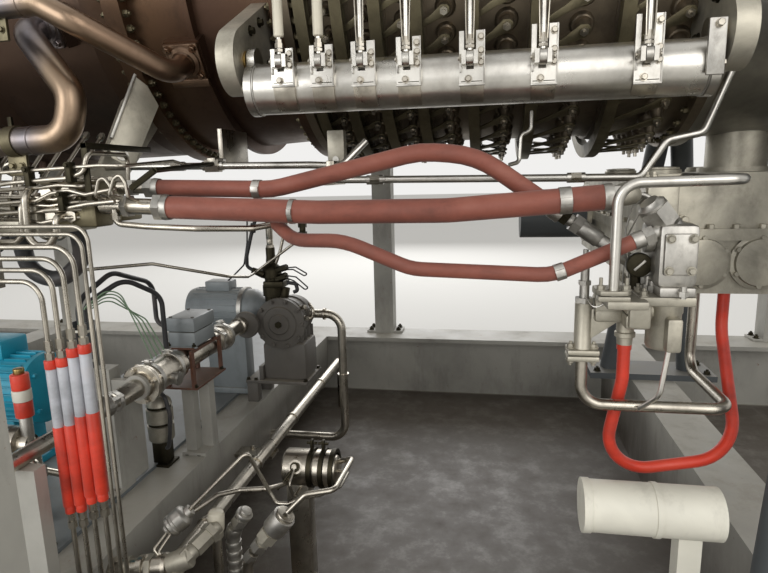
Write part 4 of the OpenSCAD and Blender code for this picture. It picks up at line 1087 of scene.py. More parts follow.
def build_thin_tubes():
    """Crowd of thin tubes along the engine's side and in front of the block."""
    # Thin tubes: most run along the engine's side from the hanger to a rear bracket
    turn = random.Random(11)
    runs = []
    for k in range(15):
        y = -470 - 21 * (k % 5) - turn.uniform(0, 8)
        z = 1212 + 27 * (k // 5) + turn.uniform(0, 14)
        r = turn.choice((4, 5, 6.5))
        rise = turn.uniform(-26, 30)
        jog = turn.uniform(180, 480)
        runs.append((((622, y - 30, z), (560, y - 30, z), (jog, y, z + rise), (jog - 170, y + 12, z + rise),
                      (-40, y + 20, z + rise * 0.3), (-262, y + 30, z + 10)), r, 28))
    for k in range(7):
        x = 590 - 34 * k
        runs.append((((x, -380 - 12 * k, 1420 + 3 * k), (x, -470 - 12 * k, 1345),
                      (x - 12, -560, 1300 - 9 * k), (x - 60, -590, 1240 - 9 * k),
                      (504, -715 - 12 * k, 1225 - 17 * k)), 4.5, 24))
    for x, z in ((440, 1162), (470, 1178)):
        runs.append((((x, -550, 1330), (x, -550, z), (x + 76, -552, z), (x + 82, -556, 1230),
                      (x + 86, -600, 1226)), 7, 28))
    runs.append((((791, -716, 1250), (791, -716, 1222), (855, -716, 1216), (960, -716, 1211),
                  (1060, -690, 1208), (1100, -652, 1214)), 6, 22))
    runs.append((((506, -760, 1150), (300, -720, 1130), (60, -640, 1120), (-250, -560, 1150)), 4, 60))
    # In front of the block: a long tube to the hanger, a wavy one, a U bend, arches and a rising strap
    runs += [(((430, -700, 1240), (684, -738, 1252), (752, -738, 1262), (806, -734, 1266)), 5, 20),
             (((452, -712, 1262), (641, -741, 1270), (676, -741, 1284), (715, -741, 1289), (748, -739, 1280),
               (812, -736, 1290)), 4, 16),
             (((440, -730, 1292), (600, -748, 1306), (720, -748, 1312), (754, -744, 1322), (763, -740, 1358),
               (763, -612, 1358), (752, -612, 1246)), 4.5, 16),
             (((470, -730, 1300), (470, -745, 1322), (640, -748, 1328), (790, -745, 1334), (836, -742, 1332),
               (836, -560, 1345), (836, -494, 1335)), 3.5, 12),
             (((622, -722, 1304), (622, -748, 1276), (618, -748, 1203), (632, -748, 1182), (664, -748, 1184),
               (682, -748, 1207), (684, -748, 1238), (684, -720, 1242)), 7, 20),
             (((506, -745, 1190), (590, -748, 1190), (606, -748, 1203), (612, -748, 1262),
               (612, -700, 1280)), 6, 14),
             (((800, -700, 1268), (800, -742, 1276), (814, -742, 1308), (828, -742, 1317), (838, -742, 1299),
               (840, -742, 1272), (840, -700, 1262)), 3.5, 9),
             (((770, -700, 1268), (770, -740, 1276), (780, -740, 1306), (792, -740, 1312), (804, -740, 1296),
               (806, -740, 1278), (806, -700, 1268)), 3.5, 9)]
    for k in range(6):
        z = 1232 + 15 * k
        runs.append((((380 - 9 * k, -640, z - 8), (520, -690 - 4 * k, z),
                      (600 + 12 * k, -733 - 2 * (k % 2), z + turn.uniform(-4, 5)),
                      (640 + 12 * k, -733 - 2 * (k % 2), z + turn.uniform(-9, 8)),
                      (700 + 8 * k, -730, z + 4), (724 + 6 * k, -700, z + 3)),
                     turn.choice((3, 3.5, 4.5)), 18))
    bm = bmesh.new()
    pipes(bm, runs, 0, 10)
    for (start, second, *_), _, _ in runs:
        stack(bm, start, (Vector(second) - Vector(start)).normalized(), ((6, 20, 9, 6),))
    piece("thin_tubes", bm, ["tube_steel"])


def build_tube_clips():
    """Racks, clips and cross bars that hold the thin tubes."""
    bm = bmesh.new()
    for x in (330, 60, -262):
        block(bm, (x - 6, -600, 1196), (x + 6, -430, 1204), 1.5)
        block(bm, (x - 6, -600, 1306), (x + 6, -430, 1314), 1.5)
        block(bm, (x - 6, -608, 1196), (x + 6, -600, 1314), 1.5)
        block(bm, (x - 6, -436, 1196), (x + 6, -428, 1470), 1.5)
        bolts(bm, [((x + 6, -604, z), FRONT) for z in (1210, 1300)], 10, 6)
    for x, y, z in ((560, -706, 1252), (700, -742, 1262), (640, -750, 1310), (730, -750, 1316)):
        block(bm, (x - 6, y - 8, z - 12), (x + 6, y + 10, z + 26), 1.5)
        bolts(bm, [((x, y - 8, z + 20), NEAR)], 8, 4)
    bar(bm, (850, -744, 1290), (898, -738, 1322), 6, sides=6)
    bar(bm, (898, -738, 1322), (898, -500, 1338), 5, sides=10)
    block(bm, (748, -738, 1268), (762, -734, 1378), 1.5)
    block(bm, (748, -738, 1366), (762, -520, 1378), 1.5)
    for k in range(8):
        block(bm, (200 - 52 * k, -604, 1222 + 5 * (k % 3)), (216 - 52 * k, -540, 1262 + 9 * (k % 4)), 2)
    piece("tube_clips", bm, ["dark_steel"])


def build_black_loops():
    """Two black loops behind the manifold."""
    bm = bmesh.new()
    pipes(bm, [(((560, -575, 1250), (596, -575, 1190), (600, -575, 1130), (540, -580, 1080),
                 (470, -590, 1100), (462, -600, 1190)), 19, 60),
               (((428, -558, 1236), (380, -570, 1150), (300, -560, 1150), (264, -536, 1250)), 10, 50)], 0, 16)
    piece("black_loops", bm, ["black_rubber"])


class TURBINE_OT_hose_manifold(bpy.types.Operator):
    """Nipples, collars, brackets and the crowd of thin tubes behind the hoses' rear ends"""

    bl_idname = "turbine.hose_manifold"
    bl_label = "Hose manifold and thin tubes"

    def execute(self, context):
        build_manifold_block()
        build_case_brackets()
        build_thin_tubes()
        build_tube_clips()
        build_black_loops()
        return {"FINISHED"}


class TURBINE_OT_silver_rails(bpy.types.Operator):
    """Bright rails behind the hoses with their clamps and unions"""

    bl_idname = "turbine.silver_rails"
    bl_label = "Silver rails"

    def execute(self, context):
        r = context.scene.turbine_sizes.rail_r
        bm = bmesh.new()
        left = ((628, -500, 1338), (1120, -480, 1330), (1190, -470, 1326), (1240, -440, 1380))
        right = ((1146, -450, 1296), (1816, -480, 1287), (1861, -480, 1359), (1930, -470, 1372),
                 (1990, -430, 1500))
        z_tube = ((1560, -320, 1321), (1583, -300, 1327), (1586, -300, 1390), (1609, -300, 1400),
                  (1609, -300, 1470))
        pipes(bm, [(left, r, 30), (right, r, 22), (z_tube, 5, 14)], 0, 16)
        for x, y, z, wide, long in ((894, -489, 1334, r + 8, 34), (806, -492, 1335, r + 4, 22),
                                    (1262, -453, 1294, r + 4, 22), (1690, -476, 1289, r + 4, 20)):
            hexagon(bm, (x - long / 2, y, z), (x + long / 2, y, z), wide)
            bar(bm, (x - long / 2 - 8, y, z), (x + long / 2 + 8, y, z), r + 2.5, sides=20)
        block(bm, (1136, -462, 1284), (1156, -300, 1330), 2, 1)
        block(bm, (1158, -484, 1286), (1176, -442, 1338), 2, 1)
        block(bm, (884, -500, 1336), (904, -440, 1352), 2, 1)
        block(bm, (888, -446, 1336), (900, -300, 1420), 2, 1)
        block(bm, (1604, -312, 1462), (1614, -288, 1482), 2, 1)
        piece("silver_rail_tubes", bm, ["bright_steel", "tube_steel"])
        return {"FINISHED"}


# Fuel valve

def valve_port_block(bm):
    """Silver port block, its covers and its lower plate."""
    x, z = VALVE_X, VALVE_LOW
    block(bm, (x + 31, -758, z + 126), (x + 93, -636, 1214), 10, 1)
    block(bm, (x + 37, -640, z + 126), (x + 93, -562, 1284), 9, 0)
    block(bm, (x + 35, -762, z + 112), (x + 90, -560, z + 128), 3, 1)
    block(bm, (x + 38, -764, z + 148), (x + 88, -752, z + 216), 4, 1)
    block(bm, (x - 50, -790, z + 96), (x + 14, -640, z + 110), 3, 0)
    block(bm, (x + 6, -760, z + 96), (x + 93, -560, z + 112), 3, 0)
    bolts(bm, [((x + 46 + 34 * a, -764, z + 156 + 52 * b), NEAR) for a in (0, 1) for b in (0, 1)], 10, 6)
    spots = crossings((x + 14,), (-750, -708, -600, -572), z + 112) + crossings((x + 52,), (-620, -575), 1284)
    bolts(bm, spots, 11, 7, stud=5)


def valve_body(bm):
    """Body: two half blocks with a seam, round covers and the lower nozzle."""
    x, y, z = VALVE_X, VALVE_Y, VALVE_LOW
    block(bm, (x, -698, z + 40), (x + 41, -582, z + 66), 4, 0)
    block(bm, (x, -700, z + 67), (x + 41, -580, z + 97), 4, 0)
    block(bm, (x + 2, -712, z + 44), (x + 39, -698, z + 92), 6, 0)
    block(bm, (x - 46, -664, z + 44), (x + 2, -616, z + 68), 5, 0)
    bar(bm, (x - 46, y, z + 70), (x + 2, y, z + 70), 24, sides=28, edge=3)
    bar(bm, (x + 41, y, z + 66), (x + 62, y, z + 66), 22, sides=28, edge=2)
    turned(bm, ((-2, 20), (0, 32), (34, 32), (38, 30), (96, 30), (102, 27)), (x + 78, y, z + 96), DOWN, 32)
    turned(bm, ((0, 16), (26, 16), (28, 19), (36, 19), (38, 15), (52, 14)),
           (x + 20, y + 34, z + 40), DOWN, 24)
    bar(bm, (x + 20, y + 34, z - 2), (x + 20, y + 34, z - 12), 12, sides=6, finish=3)
    bar(bm, (x + 20, y + 34, z - 10), (x + 20, y + 34, z - 22), 13.6, sides=28, finish=4)


def valve_leg(bm):
    """Leg with its web, double flange and the fitting on top."""
    x, y, z = VALVE_X, VALVE_Y, VALVE_LOW
    turned(bm, ((-77, 12), (-74, 16), (10, 16), (12, 17), (14, 17)), (LEG_X, y, z + 2), DOWN, 28)
    plate(bm, [(LEG_X + 8, z + 4), (x + 6, z + 48), (x + 6, z + 66), (LEG_X + 8, z + 66)], 18,
          Matrix.Translation((0, y + 9, 0)) @ Matrix.Rotation(math.pi / 2, 4, "X"), 0, 2)
    for low in (950, 962):
        block(bm, (LEG_X - 29, y - 22, low), (LEG_X + 29, y + 22, low + 10.5), 3, 0)
    bolts(bm, [((LEG_X + s * 21, y, 972.5), UP) for s in (-1, 1)], 12, 7, stud=4)
    bolts(bm, [((LEG_X + s * 21, y, 950), DOWN) for s in (-1, 1)], 12, 7, stud=4)
    stack(bm, (LEG_X, y, z), UP, ((76, 86, 17, 6), (86, 110, 9, 20), (110, 118, 12, 6), (118, 150, 8, 20),
                                  (150, 160, 11, 6), (160, 176, 5, 12)), finish=1)


def valve_tube(bm):
    """Bright tube with its two-bolt flange."""
    z = VALVE_LOW
    tube_x, tube_y = 1714, -774
    pipes(bm, [(((tube_x, tube_y, z + 112), (tube_x, tube_y, 1281), (1905, tube_y, 1284), (1905, -462, 1284),
                 (1905, -448, 1284)), 8.5, 34)], 2, 16)
    flat = Matrix.Translation((tube_x, tube_y, z + 118))
    plate(bm, [(-28, 0), (-21, 10), (0, 14), (21, 10), (28, 0), (21, -10), (0, -14), (-21, -10)], 8,
          flat, 0, 1.5)
    block(bm, (tube_x - 25, tube_y - 12, z + 108), (tube_x + 25, tube_y + 12, z + 117), 2, 0)
    bolts(bm, [((tube_x + s * 20, tube_y, z + 126), UP) for s in (-1, 1)], 11, 7, stud=12)


def hose_fittings(bm):
    """Fittings at the ends of the hoses."""
    x = VALVE_X
    for route, steps in ((HOSE_A, ((0, 22, 1.12, 28, 1), (22, 36, 0.98, 6, 3), (36, 46, 0.66, 20, 1),
                                   (46, 62, 1.1, 6, 1), (62, 104, 0.92, 24, 1), (104, 208, 0.76, 24, 1))),
                         (HOSE_B, ((-3, 12, 1.05, 28, 1), (12, 24, 0.9, 6, 1))),
                         (HOSE_C, ((-14, 4, 1.12, 28, 1), (4, 20, 1.25, 6, 1), (20, 36, 0.9, 24, 1)))):
        points, r = route[0], route[1]
        end = Vector(points[-1])
        way = (end - Vector(points[-2])).normalized()
        stack(bm, end, way, [(low, high, r * share, *rest) for low, high, share, *rest in steps], 1)
    pipes(bm, [(((1726, -700, 1258), (1752, -700, 1260), (1752, -606, 1262), (x + 42, -606, 1262)), 17, 22)],
          0, 20)
    hexagon(bm, (x + 38, -606, 1262), (x + 22, -606, 1262), 26)
    bar(bm, (x + 31, -722, 1190), (x + 15, -722, 1190), 25, sides=32, finish=1, edge=4)


def valve_nut(bm):
    """Angled nut over the port block, with a thin white hose that arches behind it."""
    wire = bpy.context.scene.turbine_sizes.wire_r
    x, z = VALVE_X, VALVE_LOW
    foot, way = Vector((x + 52, -722, 1206)), Vector((-0.62, -0.2, 0.76)).normalized()
    turned(bm, ((-8, 24), (6, 24), (8, 19), (14, 19)), foot, way, 28, 1)
    hexagon(bm, foot + way * 12, foot + way * 46, 27)
    turned(bm, ((0, 22), (4, 22), (7, 17), (12, 15)), foot + way * 46, way, 24, 1)
    pipes(bm, [(((x + 4, -640, z + 112), (x + 4, -642, 1200), (x + 12, -644, 1236), (x + 26, -650, 1250)),
                wire, 14), (((x - 4, -650, 1250), (x + 22, -650, 1262), (x + 50, -656, 1246),
                             (x + 68, -668, 1212)), 4.5, 30)], 1, 10)


def valve_disc(bm):
    """Slotted disc, elbow nut and the pieces at the right."""
    wire = bpy.context.scene.turbine_sizes.wire_r
    x, y, z = VALVE_X, VALVE_Y, VALVE_LOW
    bar(bm, (x + 13, -716, 1142), (x + 13, -700, 1142), 21, sides=32, finish=3, edge=3)
    bar(bm, (x + 13, -700, 1142), (x + 13, -680, 1142), 10, sides=16, finish=3)
    bar(bm, (x + 13, -690, z + 110), (x + 13, -690, 1142), 9, sides=16, finish=3)
    centre = Matrix.Translation((x + 13, 0, 1142))
    slant = centre @ Matrix.Rotation(0.8, 4, "Y") @ centre.inverted()
    block(bm, (x + 11, -719, 1130), (x + 15, -714, 1154), 0.8, 1, slant)
    block(bm, (x + 72, -690, z - 4), (x + 98, -600, z + 58), 5, 0)
    for k, (dx, dy) in enumerate(((34, -718), (30, -704), (68, -770), (56, -716))):
        bar(bm, (x + dx, dy, z + 112), (x + dx, dy, z + 132 + 6 * (k % 2)), 5, sides=10, finish=1)
        hexagon(bm, (x + dx, dy, z + 116), (x + dx, dy, z + 124), 8)
    pipes(bm, [(((x + 6, -668, z + 102), (x + 2, -690, z + 140), (x - 6, -700, 1190), (x + 8, -724, 1236)),
                wire, 20), (((LEG_X, y - 10, z + 90), (LEG_X + 14, y - 26, z + 70),
                             (x - 10, y - 30, z + 92)), wire, 12),
               (((x + 80, -682, z + 10), (x + 66, -690, 900), (x + 40, -660, 862)), 4.5, 30)], 2, 8)


def valve_arm(bm):
    """Arm to the gearbox."""
    x = VALVE_X
    block(bm, (x + 47, -562, 1100), (1900, -461, 1200), 6, 0)
    block(bm, (1840, -476, 1092), (1912, -449, 1208), 4, 0)
    bolts(bm, [((a, -476, b), NEAR) for a in (1848, 1904) for b in (1100, 1200)], 14, 9)


class TURBINE_OT_fuel_valve(bpy.types.Operator):
    """Fuel valve with its ports, flanges, fittings and bright tube"""

    bl_idname = "turbine.fuel_valve"
    bl_label = "Fuel valve"

    def execute(self, context):
        bm = bmesh.new()
        for build in (valve_port_block, valve_body, valve_leg, valve_tube, hose_fittings, valve_nut,
                      valve_disc, valve_arm):
            build(bm)
        piece("fuel_valve_parts", bm, ["cast_alloy", "silver_alloy", "bright_steel", "dark_steel",
                                       "red_sleeve"], stands_for=("fuel_valve",))
        return {"FINISHED"}


# Skid

def train_at(y):
    """Point on the fuel pipe train's axis."""
    return Vector((TRAIN_X, y, TRAIN_Z))


def pump_at(y, r=0.0, a=0.0):
    """Point round the pump's axis."""
    return Vector((PUMP_X + r * math.cos(a), y, TRAIN_Z + r * math.sin(a)))


def build_fuel_pipe_train():
    """Fuel pipe with its unions, flanges and clamps."""
    bm = bmesh.new()
    turned(bm, ((0, 14), (0, 17), (250, 17), (254, 21), (262, 21), (266, 17), (308, 18), (320, 26),
                (334, 27), (342, 23), (358, 22), (362, 24), (440, 25), (446, 33), (454, 36), (460, 36),
                (460, 52), (467, 52), (467.6, 50.5), (468.4, 50.5), (469, 52), (476, 52), (476, 42),
                (500, 43), (503, 45), (515, 45), (518, 41), (560, 40), (590, 43), (594, 45), (606, 45),
                (610, 41), (640, 41), (646, 34), (880, 34), (886, 40), (904, 41), (908, 37), (914, 37),
                (918, 41), (936, 40), (942, 31), (946, 26), (1060, 26), (1064, 31), (1090, 32)),
           train_at(-900), FAR, 40)
    hexagon(bm, train_at(-584), train_at(-560), 30)
    turned(bm, ((0, 17.5), (30, 27), (34, 27)), train_at(-614), FAR, 32, 1)
    turned(bm, ((0, 27), (4, 27), (14, 25.5)), train_at(-562), FAR, 32, 1)
    hexagon(bm, train_at(-552), train_at(-542), 27)
    hexagon(bm, train_at(-20), train_at(-2), 44)
    spots = [(train_at(-440) + Vector((43.5 * math.cos(a), 0, 43.5 * math.sin(a))), NEAR)
             for a in (0.4, 1.97, 3.54, 5.11)]
    spots += [(train_at(-424) + Vector((46.5 * math.cos(a), 0, 46.5 * math.sin(a))), FAR)
              for a in (0.4, 1.97, 3.54, 5.11)]
    bolts(bm, spots, 12, 9, 8, 3)
    for y in (-400, -300, 34):
        hoop(bm, -7, 7, 40, 47, train_at(y), FAR, 36, 1)
        block(bm, (TRAIN_X - 8, y - 6, TRAIN_Z + 44), (TRAIN_X + 8, y + 6, TRAIN_Z + 58), 1.5, 1)
        bar(bm, (TRAIN_X - 16, y, TRAIN_Z + 52), (TRAIN_X + 16, y, TRAIN_Z + 52), 3.5, sides=10, finish=1)
    turned(bm, ((0, 16), (20, 16), (24, 12), (46, 12), (48, 9)), (600, -275, TRAIN_Z), UP, 24, 1)
    bar(bm, (600, -275, TRAIN_Z + 26), (600, -275, TRAIN_Z + 38), 15, sides=6, finish=2)
    turned(bm, ((0, 15), (50, 15), (54, 19), (62, 19), (64, 10)), (TRAIN_X, -350, TRAIN_Z),
           (1, 0, -0.2), 24, 1)
    piece("fuel_pipe_train", bm, ["tube_steel", "silver_alloy", "brass"],
          stands_for=("fuel_pipe",))


def build_junction_box_shell():
    """Grey junction box with its gland."""
    bm = bmesh.new()
    block(bm, (578, -225, 818), (664, -100, 862), 3)
    block(bm, (576, -227, 864), (666, -98, 906), 4)
    block(bm, (581, -222, 860), (661, -103, 866), 0.5, 1)
    hexagon(bm, (566, -165, 866), (578, -165, 866), 11)
    bar(bm, (560, -165, 866), (567, -165, 866), 8.5, sides=16, finish=1)
    for y in (-215, -110):
        for x in (586, 656):
            bar(bm, (x, y, 905), (x, y, 908), 5, sides=12, finish=1)
    block(bm, (572, -232, 816), (670, -222, 820), 1, 0)
    piece("junction_box_shell", bm, ["grey_paint", "dark_steel"],
          stands_for=("junction_box",))


def build_stand_bolts():
    """Bolts and base plates of the pipe stands."""
    bm = bmesh.new()
    for spot in crossings((570, 662), (-240, -70), 700):
        bolts(bm, [spot], 11, 7)
    bolts(bm, crossings((579, 659), (-225, -100), 818), 11, 7, stud=5)
    bolts(bm, [((x, y, 486), UP) for x, y in ((505, -472), (538, -472), (505, -412), (538, -412),
                                              (606, -850))], 12, 7)
    bolts(bm, [((x, y, DECK_Z), UP) for x, y in ((640, -212), (600, -212), (590, -138))], 12, 7)
    bolts(bm, [((x, y, 556), UP) for x, y in ((620, 226), (650, 226), (620, 386), (650, 386), (846, 226),
                                              (846, 386))], 12, 8)
    block(bm, (497, -505, 486), (549, -402, 490), 1.5, 1)
    for z in (560, 640, 720):
        block(bm, (497, -466.5, z), (501, -420, z + 2), 0.5, 1)
    bar(bm, (498, -442, TRAIN_Z + 30), (490, -442, TRAIN_Z + 30), 9, sides=6)
    piece("stand_bolts", bm, ["dark_steel", "base_paint"])


class TURBINE_OT_fuel_train(bpy.types.Operator):
    """Fuel pipe train with its unions and flanges, the junction box and the bolts of the stands"""

    bl_idname = "turbine.fuel_train"
    bl_label = "Fuel pipe train"

    def execute(self, context):
        build_fuel_pipe_train()
        build_junction_box_shell()
        build_stand_bolts()
        return {"FINISHED"}


def build_pump_body():
    """Pump casing with its flange, ribs and feet."""
    bm = bmesh.new()
    turned(bm, ((0, 34), (2, 62), (8, 66), (10, 95), (25, 95), (27, 80), (60, 80), (64, 85), (72, 85),
                (76, 79), (120, 78), (124, 83), (132, 83), (136, 78), (180, 76), (190, 62)),
           pump_at(210), FAR, 44)
    turned(bm, ((0, 16), (0, 36), (5, 40), (8, 40)), pump_at(204), FAR, 32)
    hexagon(bm, pump_at(198), pump_at(206), 13)
    bolts(bm, [(pump_at(220, 86, math.tau * k / 10), NEAR) for k in range(10)], 14, 9, 9, 3)
    block(bm, (680, 232, 556), (848, 378, 700), 14)
    block(bm, (612, 216, 544), (854, 394, 556), 2)
    block(bm, (664, 224, 556), (680, 386, 610), 3)
    for y in (221, 351):
        block(bm, (613, y, 468), (656, y + 38, 545), 3)
    turned(bm, ((0, 47), (4, 50), (12, 50), (16, 45), (24, 45)), (639, 188, TRAIN_Z), FAR, 32)
    for y in (250, 290, 330, 370):
        block(bm, (683, y, 690), (837, y + 7, 742), 3)
    turned(bm, ((-6, 30), (0, 30), (4, 26), (10, 26), (12, 17)), (838, 310, TRAIN_Z + 19), FRONT, 28)
    bolts(bm, [((840, 310 + 22 * s, TRAIN_Z + 19 + 12 * t), FRONT) for s, t in ((-1, 0), (1, 0))], 11, 7)
    piece("pump_body", bm, ["cast_iron", "dark_steel"], stands_for=("pump_casing",))


def build_pump_fittings():
    """Control head on the pump: stacked body, stem, chain, cable and wire loops."""
    bm = bmesh.new()
    turned(bm, ((0, 30), (20, 30), (22, 36), (60, 36), (64, 27), (86, 27), (90, 37), (118, 38), (132, 31),
                (144, 19), (166, 17), (202, 17)), (HEAD_X, HEAD_Y, 850), UP, 28)
    stack(bm, (HEAD_X, HEAD_Y, 0), UP, ((1048, 1062, 15, 6), (1062, 1084, 12, 20), (1084, 1180, 13, 20),
                                        (1176, 1192, 17, 6)), 1, 1)
    for k in range(6):
        bar(bm, (858, 240, 1100 + 15 * k), (858, 240, 1115 + 15 * k), (16, 11)[k % 2],
            sides=(6, 20)[k % 2], edge=1)
    bar(bm, (858, 240, 1095), (836, 240, 1081), 13, sides=20, edge=1)
    block(bm, (690, 250, 905), (768, 330, 930), 5)
    bar(bm, (736, 276, 935), (778, 268, 950), 14, sides=6)
    bar(bm, (736, 276, 968), (782, 268, 982), 12, sides=6)
    bar(bm, (690, 262, 955), (654, 246, 974), 15, 11, sides=20)
    bar(bm, (744, 300, 850), (752, 312, 900), 22, sides=24, edge=4)
    pipes(bm, [(((345, -350, 1063), (560, -240, 1070), (724, -100, 1010), (700, 100, 974), (664, 236, 962),
                 (840, 240, 1084)), 5, 26),
               (((HEAD_X, HEAD_Y, 1184), (786, 268, 1184), (858, 240, 1184)), 7, 20),
               (((786, 280, 1184), (779, 290, 1138), (752, 290, 1042), (728, 290, 985)), 6, 20),
               (((838, 240, 800), (880, 238, 792), (884, 238, 830), (862, 262, 846)), 6, 14)], 1, 10)
    pipes(bm, [(((778, 268, 979), (817, 262, 983), (863, 258, 958), (850, 258, 951), (807, 262, 974),
                 (778, 270, 972)), 2.6, 8),
               (((778, 268, 950), (817, 262, 946), (864, 258, 906), (850, 258, 900), (807, 262, 932),
                 (778, 270, 940)), 2.6, 8),
               (((HEAD_X, HEAD_Y, 1186), (668, 290, 1178), (642, 286, 1098), (622, 280, 1022),
                 (628, 262, 984), (660, 248, 972)), 7, 26),
               (((HEAD_X, HEAD_Y, 1184), (626, 300, 1178), (618, 300, 1069), (600, 300, 985),
                 (560, 308, 950), (520, 316, 918)), 3, 20),
               (((782, 262, 925), (816, 258, 922), (822, 258, 896), (806, 258, 890)), 7, 12)], 2, 10)
    bar(bm, (657, 288, 1142), (646, 287, 1110), 13, finish=2, sides=20, edge=2)
    for x, y, z, d in ((838, 240, 800, (0.9, -0.5, 0)), (826, 250, 830, (0.9, -0.4, 0.3))):
        stack(bm, (x, y, z), Vector(d).normalized(),
              ((-14, 8, 11, 6), (8, 22, 7, 16), (22, 32, 9, 6)), finish=1)
    piece("pump_fittings", bm, ["dark_steel", "tube_steel", "black_rubber"])


def build_deck_canister():
    """Canister on a stand block, with its black loop."""
    bm = bmesh.new()
    turned(bm, ((0, 24), (6, 34), (10, 37), (52, 38), (54, 33), (61, 33), (63, 38), (104, 38), (106, 33),
                (113, 33), (115, 37), (128, 34), (138, 24), (142, 16), (152, 14)),
           (CANISTER_X, CANISTER_Y, 540), UP, 32)
    for z in (594, 646):
        bar(bm, (CANISTER_X, CANISTER_Y, z), (CANISTER_X, CANISTER_Y, z + 7), 34, finish=1, sides=32)
    block(bm, (CANISTER_X - 22, CANISTER_Y - 22, DECK_Z), (CANISTER_X + 22, CANISTER_Y + 22, 542), 3, 1)
    block(bm, (CANISTER_X - 32, CANISTER_Y - 32, DECK_Z),
          (CANISTER_X + 32, CANISTER_Y + 32, DECK_Z + 8), 2, 1)
    pipes(bm, [(((CANISTER_X, CANISTER_Y, 684), (562, -284, 706), (598, -304, 692), (610, -306, 640),
                 (604, -306, 580), (590, -296, 530), (560, -276, 520)), 6, 22)], 2, 12)
    piece("deck_canister", bm, ["cast_alloy", "dark_steel", "black_rubber"])


def build_pump_motor_shell():
    """Grey motor of the pump, with cooling ribs."""
    bm = bmesh.new()
    centre = PUMP_MOTOR
    turned(bm, ((-2, 30), (0, 60), (4, 72), (20, 78), (214, 78), (218, 80), (230, 80), (234, 74), (262, 74),
                (284, 62), (300, 44), (314, 40)), centre, FRONT, 44)
    hoop(bm, 0, 16, 76, 82, centre + Vector((216, 0, 0)), FRONT, 44, 1)
    for k in range(20):
        a = math.tau * k / 20
        block(bm, (30, -2, 74), (206, 2, 81), 1, 0, Matrix.Translation(centre) @ Matrix.Rotation(a, 4, "X"))
    block(bm, (440, 285, 884), (540, 355, 922), 5)
    block(bm, (422, 272, 478), (600, 368, 500), 2)
    block(bm, (432, 284, 498), (590, 356, 750), 4)
    bolts(bm, crossings((428, 594), (278, 362), 500), 13, 8)
    piece("pump_motor_shell", bm, ["grey_paint", "silver_alloy"],
          stands_for=("pump_motor",))


def build_side_motor_shell():
    """Turquoise motor with its ribs and feet."""
    bm = bmesh.new()
    centre = SIDE_MOTOR
    turned(bm, ((0, 40), (0, 88), (10, 100), (22, 102), (26, 96), (280, 96), (284, 102), (298, 101),
                (304, 86), (309, 40), (309, 22)), centre, FRONT, 44)
    for k in range(30):
        block(bm, (34, -1.8, 93), (276, 1.8, 104.5), 1, 0,
              Matrix.Translation(centre) @ Matrix.Rotation(math.tau * k / 30, 4, "X"))
    block(bm, (20, -420, 478), (200, -280, 500), 3)
    block(bm, (36, -408, 498), (184, -292, 660), 6)
    block(bm, (60, -400, 815), (170, -300, 872), 8)
    bolts(bm, crossings((28, 192), (-412, -288), 500), 14, 9)
    bolts(bm, [(centre + Vector((304, 74 * math.cos(a), 74 * math.sin(a))), FRONT)
               for a in (0.8, 2.36, 3.93, 5.5)], 12, 8)
    piece("side_motor_shell", bm, ["turquoise"], stands_for=("side_motor",))


def build_side_couplings():
    """Cast couplings and the small red and white bottle beside the turquoise motor."""
    bm = bmesh.new()
    start = Vector((120, -640, 700))
    turned(bm, ((0, 24), (90, 24), (94, 34), (120, 34), (124, 28), (180, 28), (184, 38), (214, 38),
                (218, 30), (270, 30), (274, 42), (296, 42), (298, 26), (320, 24)), start,
           (1, 0.05, -0.03), 32)
    for reach, r in ((96, 42), (138, 36), (168, 40), (232, 44), (262, 40)):
        bar(bm, start + Vector((reach, reach * 0.05, -reach * 0.03)),
            start + Vector((reach + 22, reach * 0.05 + 1, -reach * 0.03 - 1)), r, sides=6, finish=1, edge=2)
    turned(bm, ((0, 30), (6, 36), (26, 36), (30, 28), (60, 28), (64, 35), (88, 35), (92, 26)),
           (340, -640, 632), (1, 0.05, 0.03), 28, 1)
    bar(bm, (250, -628, 478), (250, -628, 690), 20, sides=20)
    bar(bm, (BOTTLE_X, BOTTLE_Y, 478), (BOTTLE_X, BOTTLE_Y, 700), 22, sides=20)
    hexagon(bm, (BOTTLE_X, BOTTLE_Y, 600), (BOTTLE_X, BOTTLE_Y, 630), 30)
    stack(bm, (BOTTLE_X, BOTTLE_Y, 0), UP, ((690, 760, 14, 24, 1), (760, 800, 20, 24, 2),
                                            (800, 828, 21, 24, 4), (828, 866, 20, 24, 2),
                                            (866, 880, 12, 24, 3)), 2)
    pipes(bm, [(((120, -640, 700), (40, -640, 700), (40, -640, 478)), 24, 40),
               (((430, -640, 660), (470, -660, 660), (520, -700, 620), (520, -760, 478)), 12, 30),
               (((300, -600, 478), (300, -600, 560), (360, -560, 590), (420, -500, 540), (420, -500, 478)),
                9, 24)], 0, 16)
    piece("side_couplings", bm, ["tube_steel", "silver_alloy", "red_sleeve", "brass", "white_plastic"])


class TURBINE_OT_pumps(bpy.types.Operator):
    """Fuel pump, its grey motor, the turquoise motor and the fittings round them"""

    bl_idname = "turbine.pumps"
    bl_label = "Pumps and motors"

    def execute(self, context):
        build_pump_body()
        build_pump_fittings()
        build_deck_canister()
        build_pump_motor_shell()
        build_side_motor_shell()
        build_side_couplings()
        return {"FINISHED"}


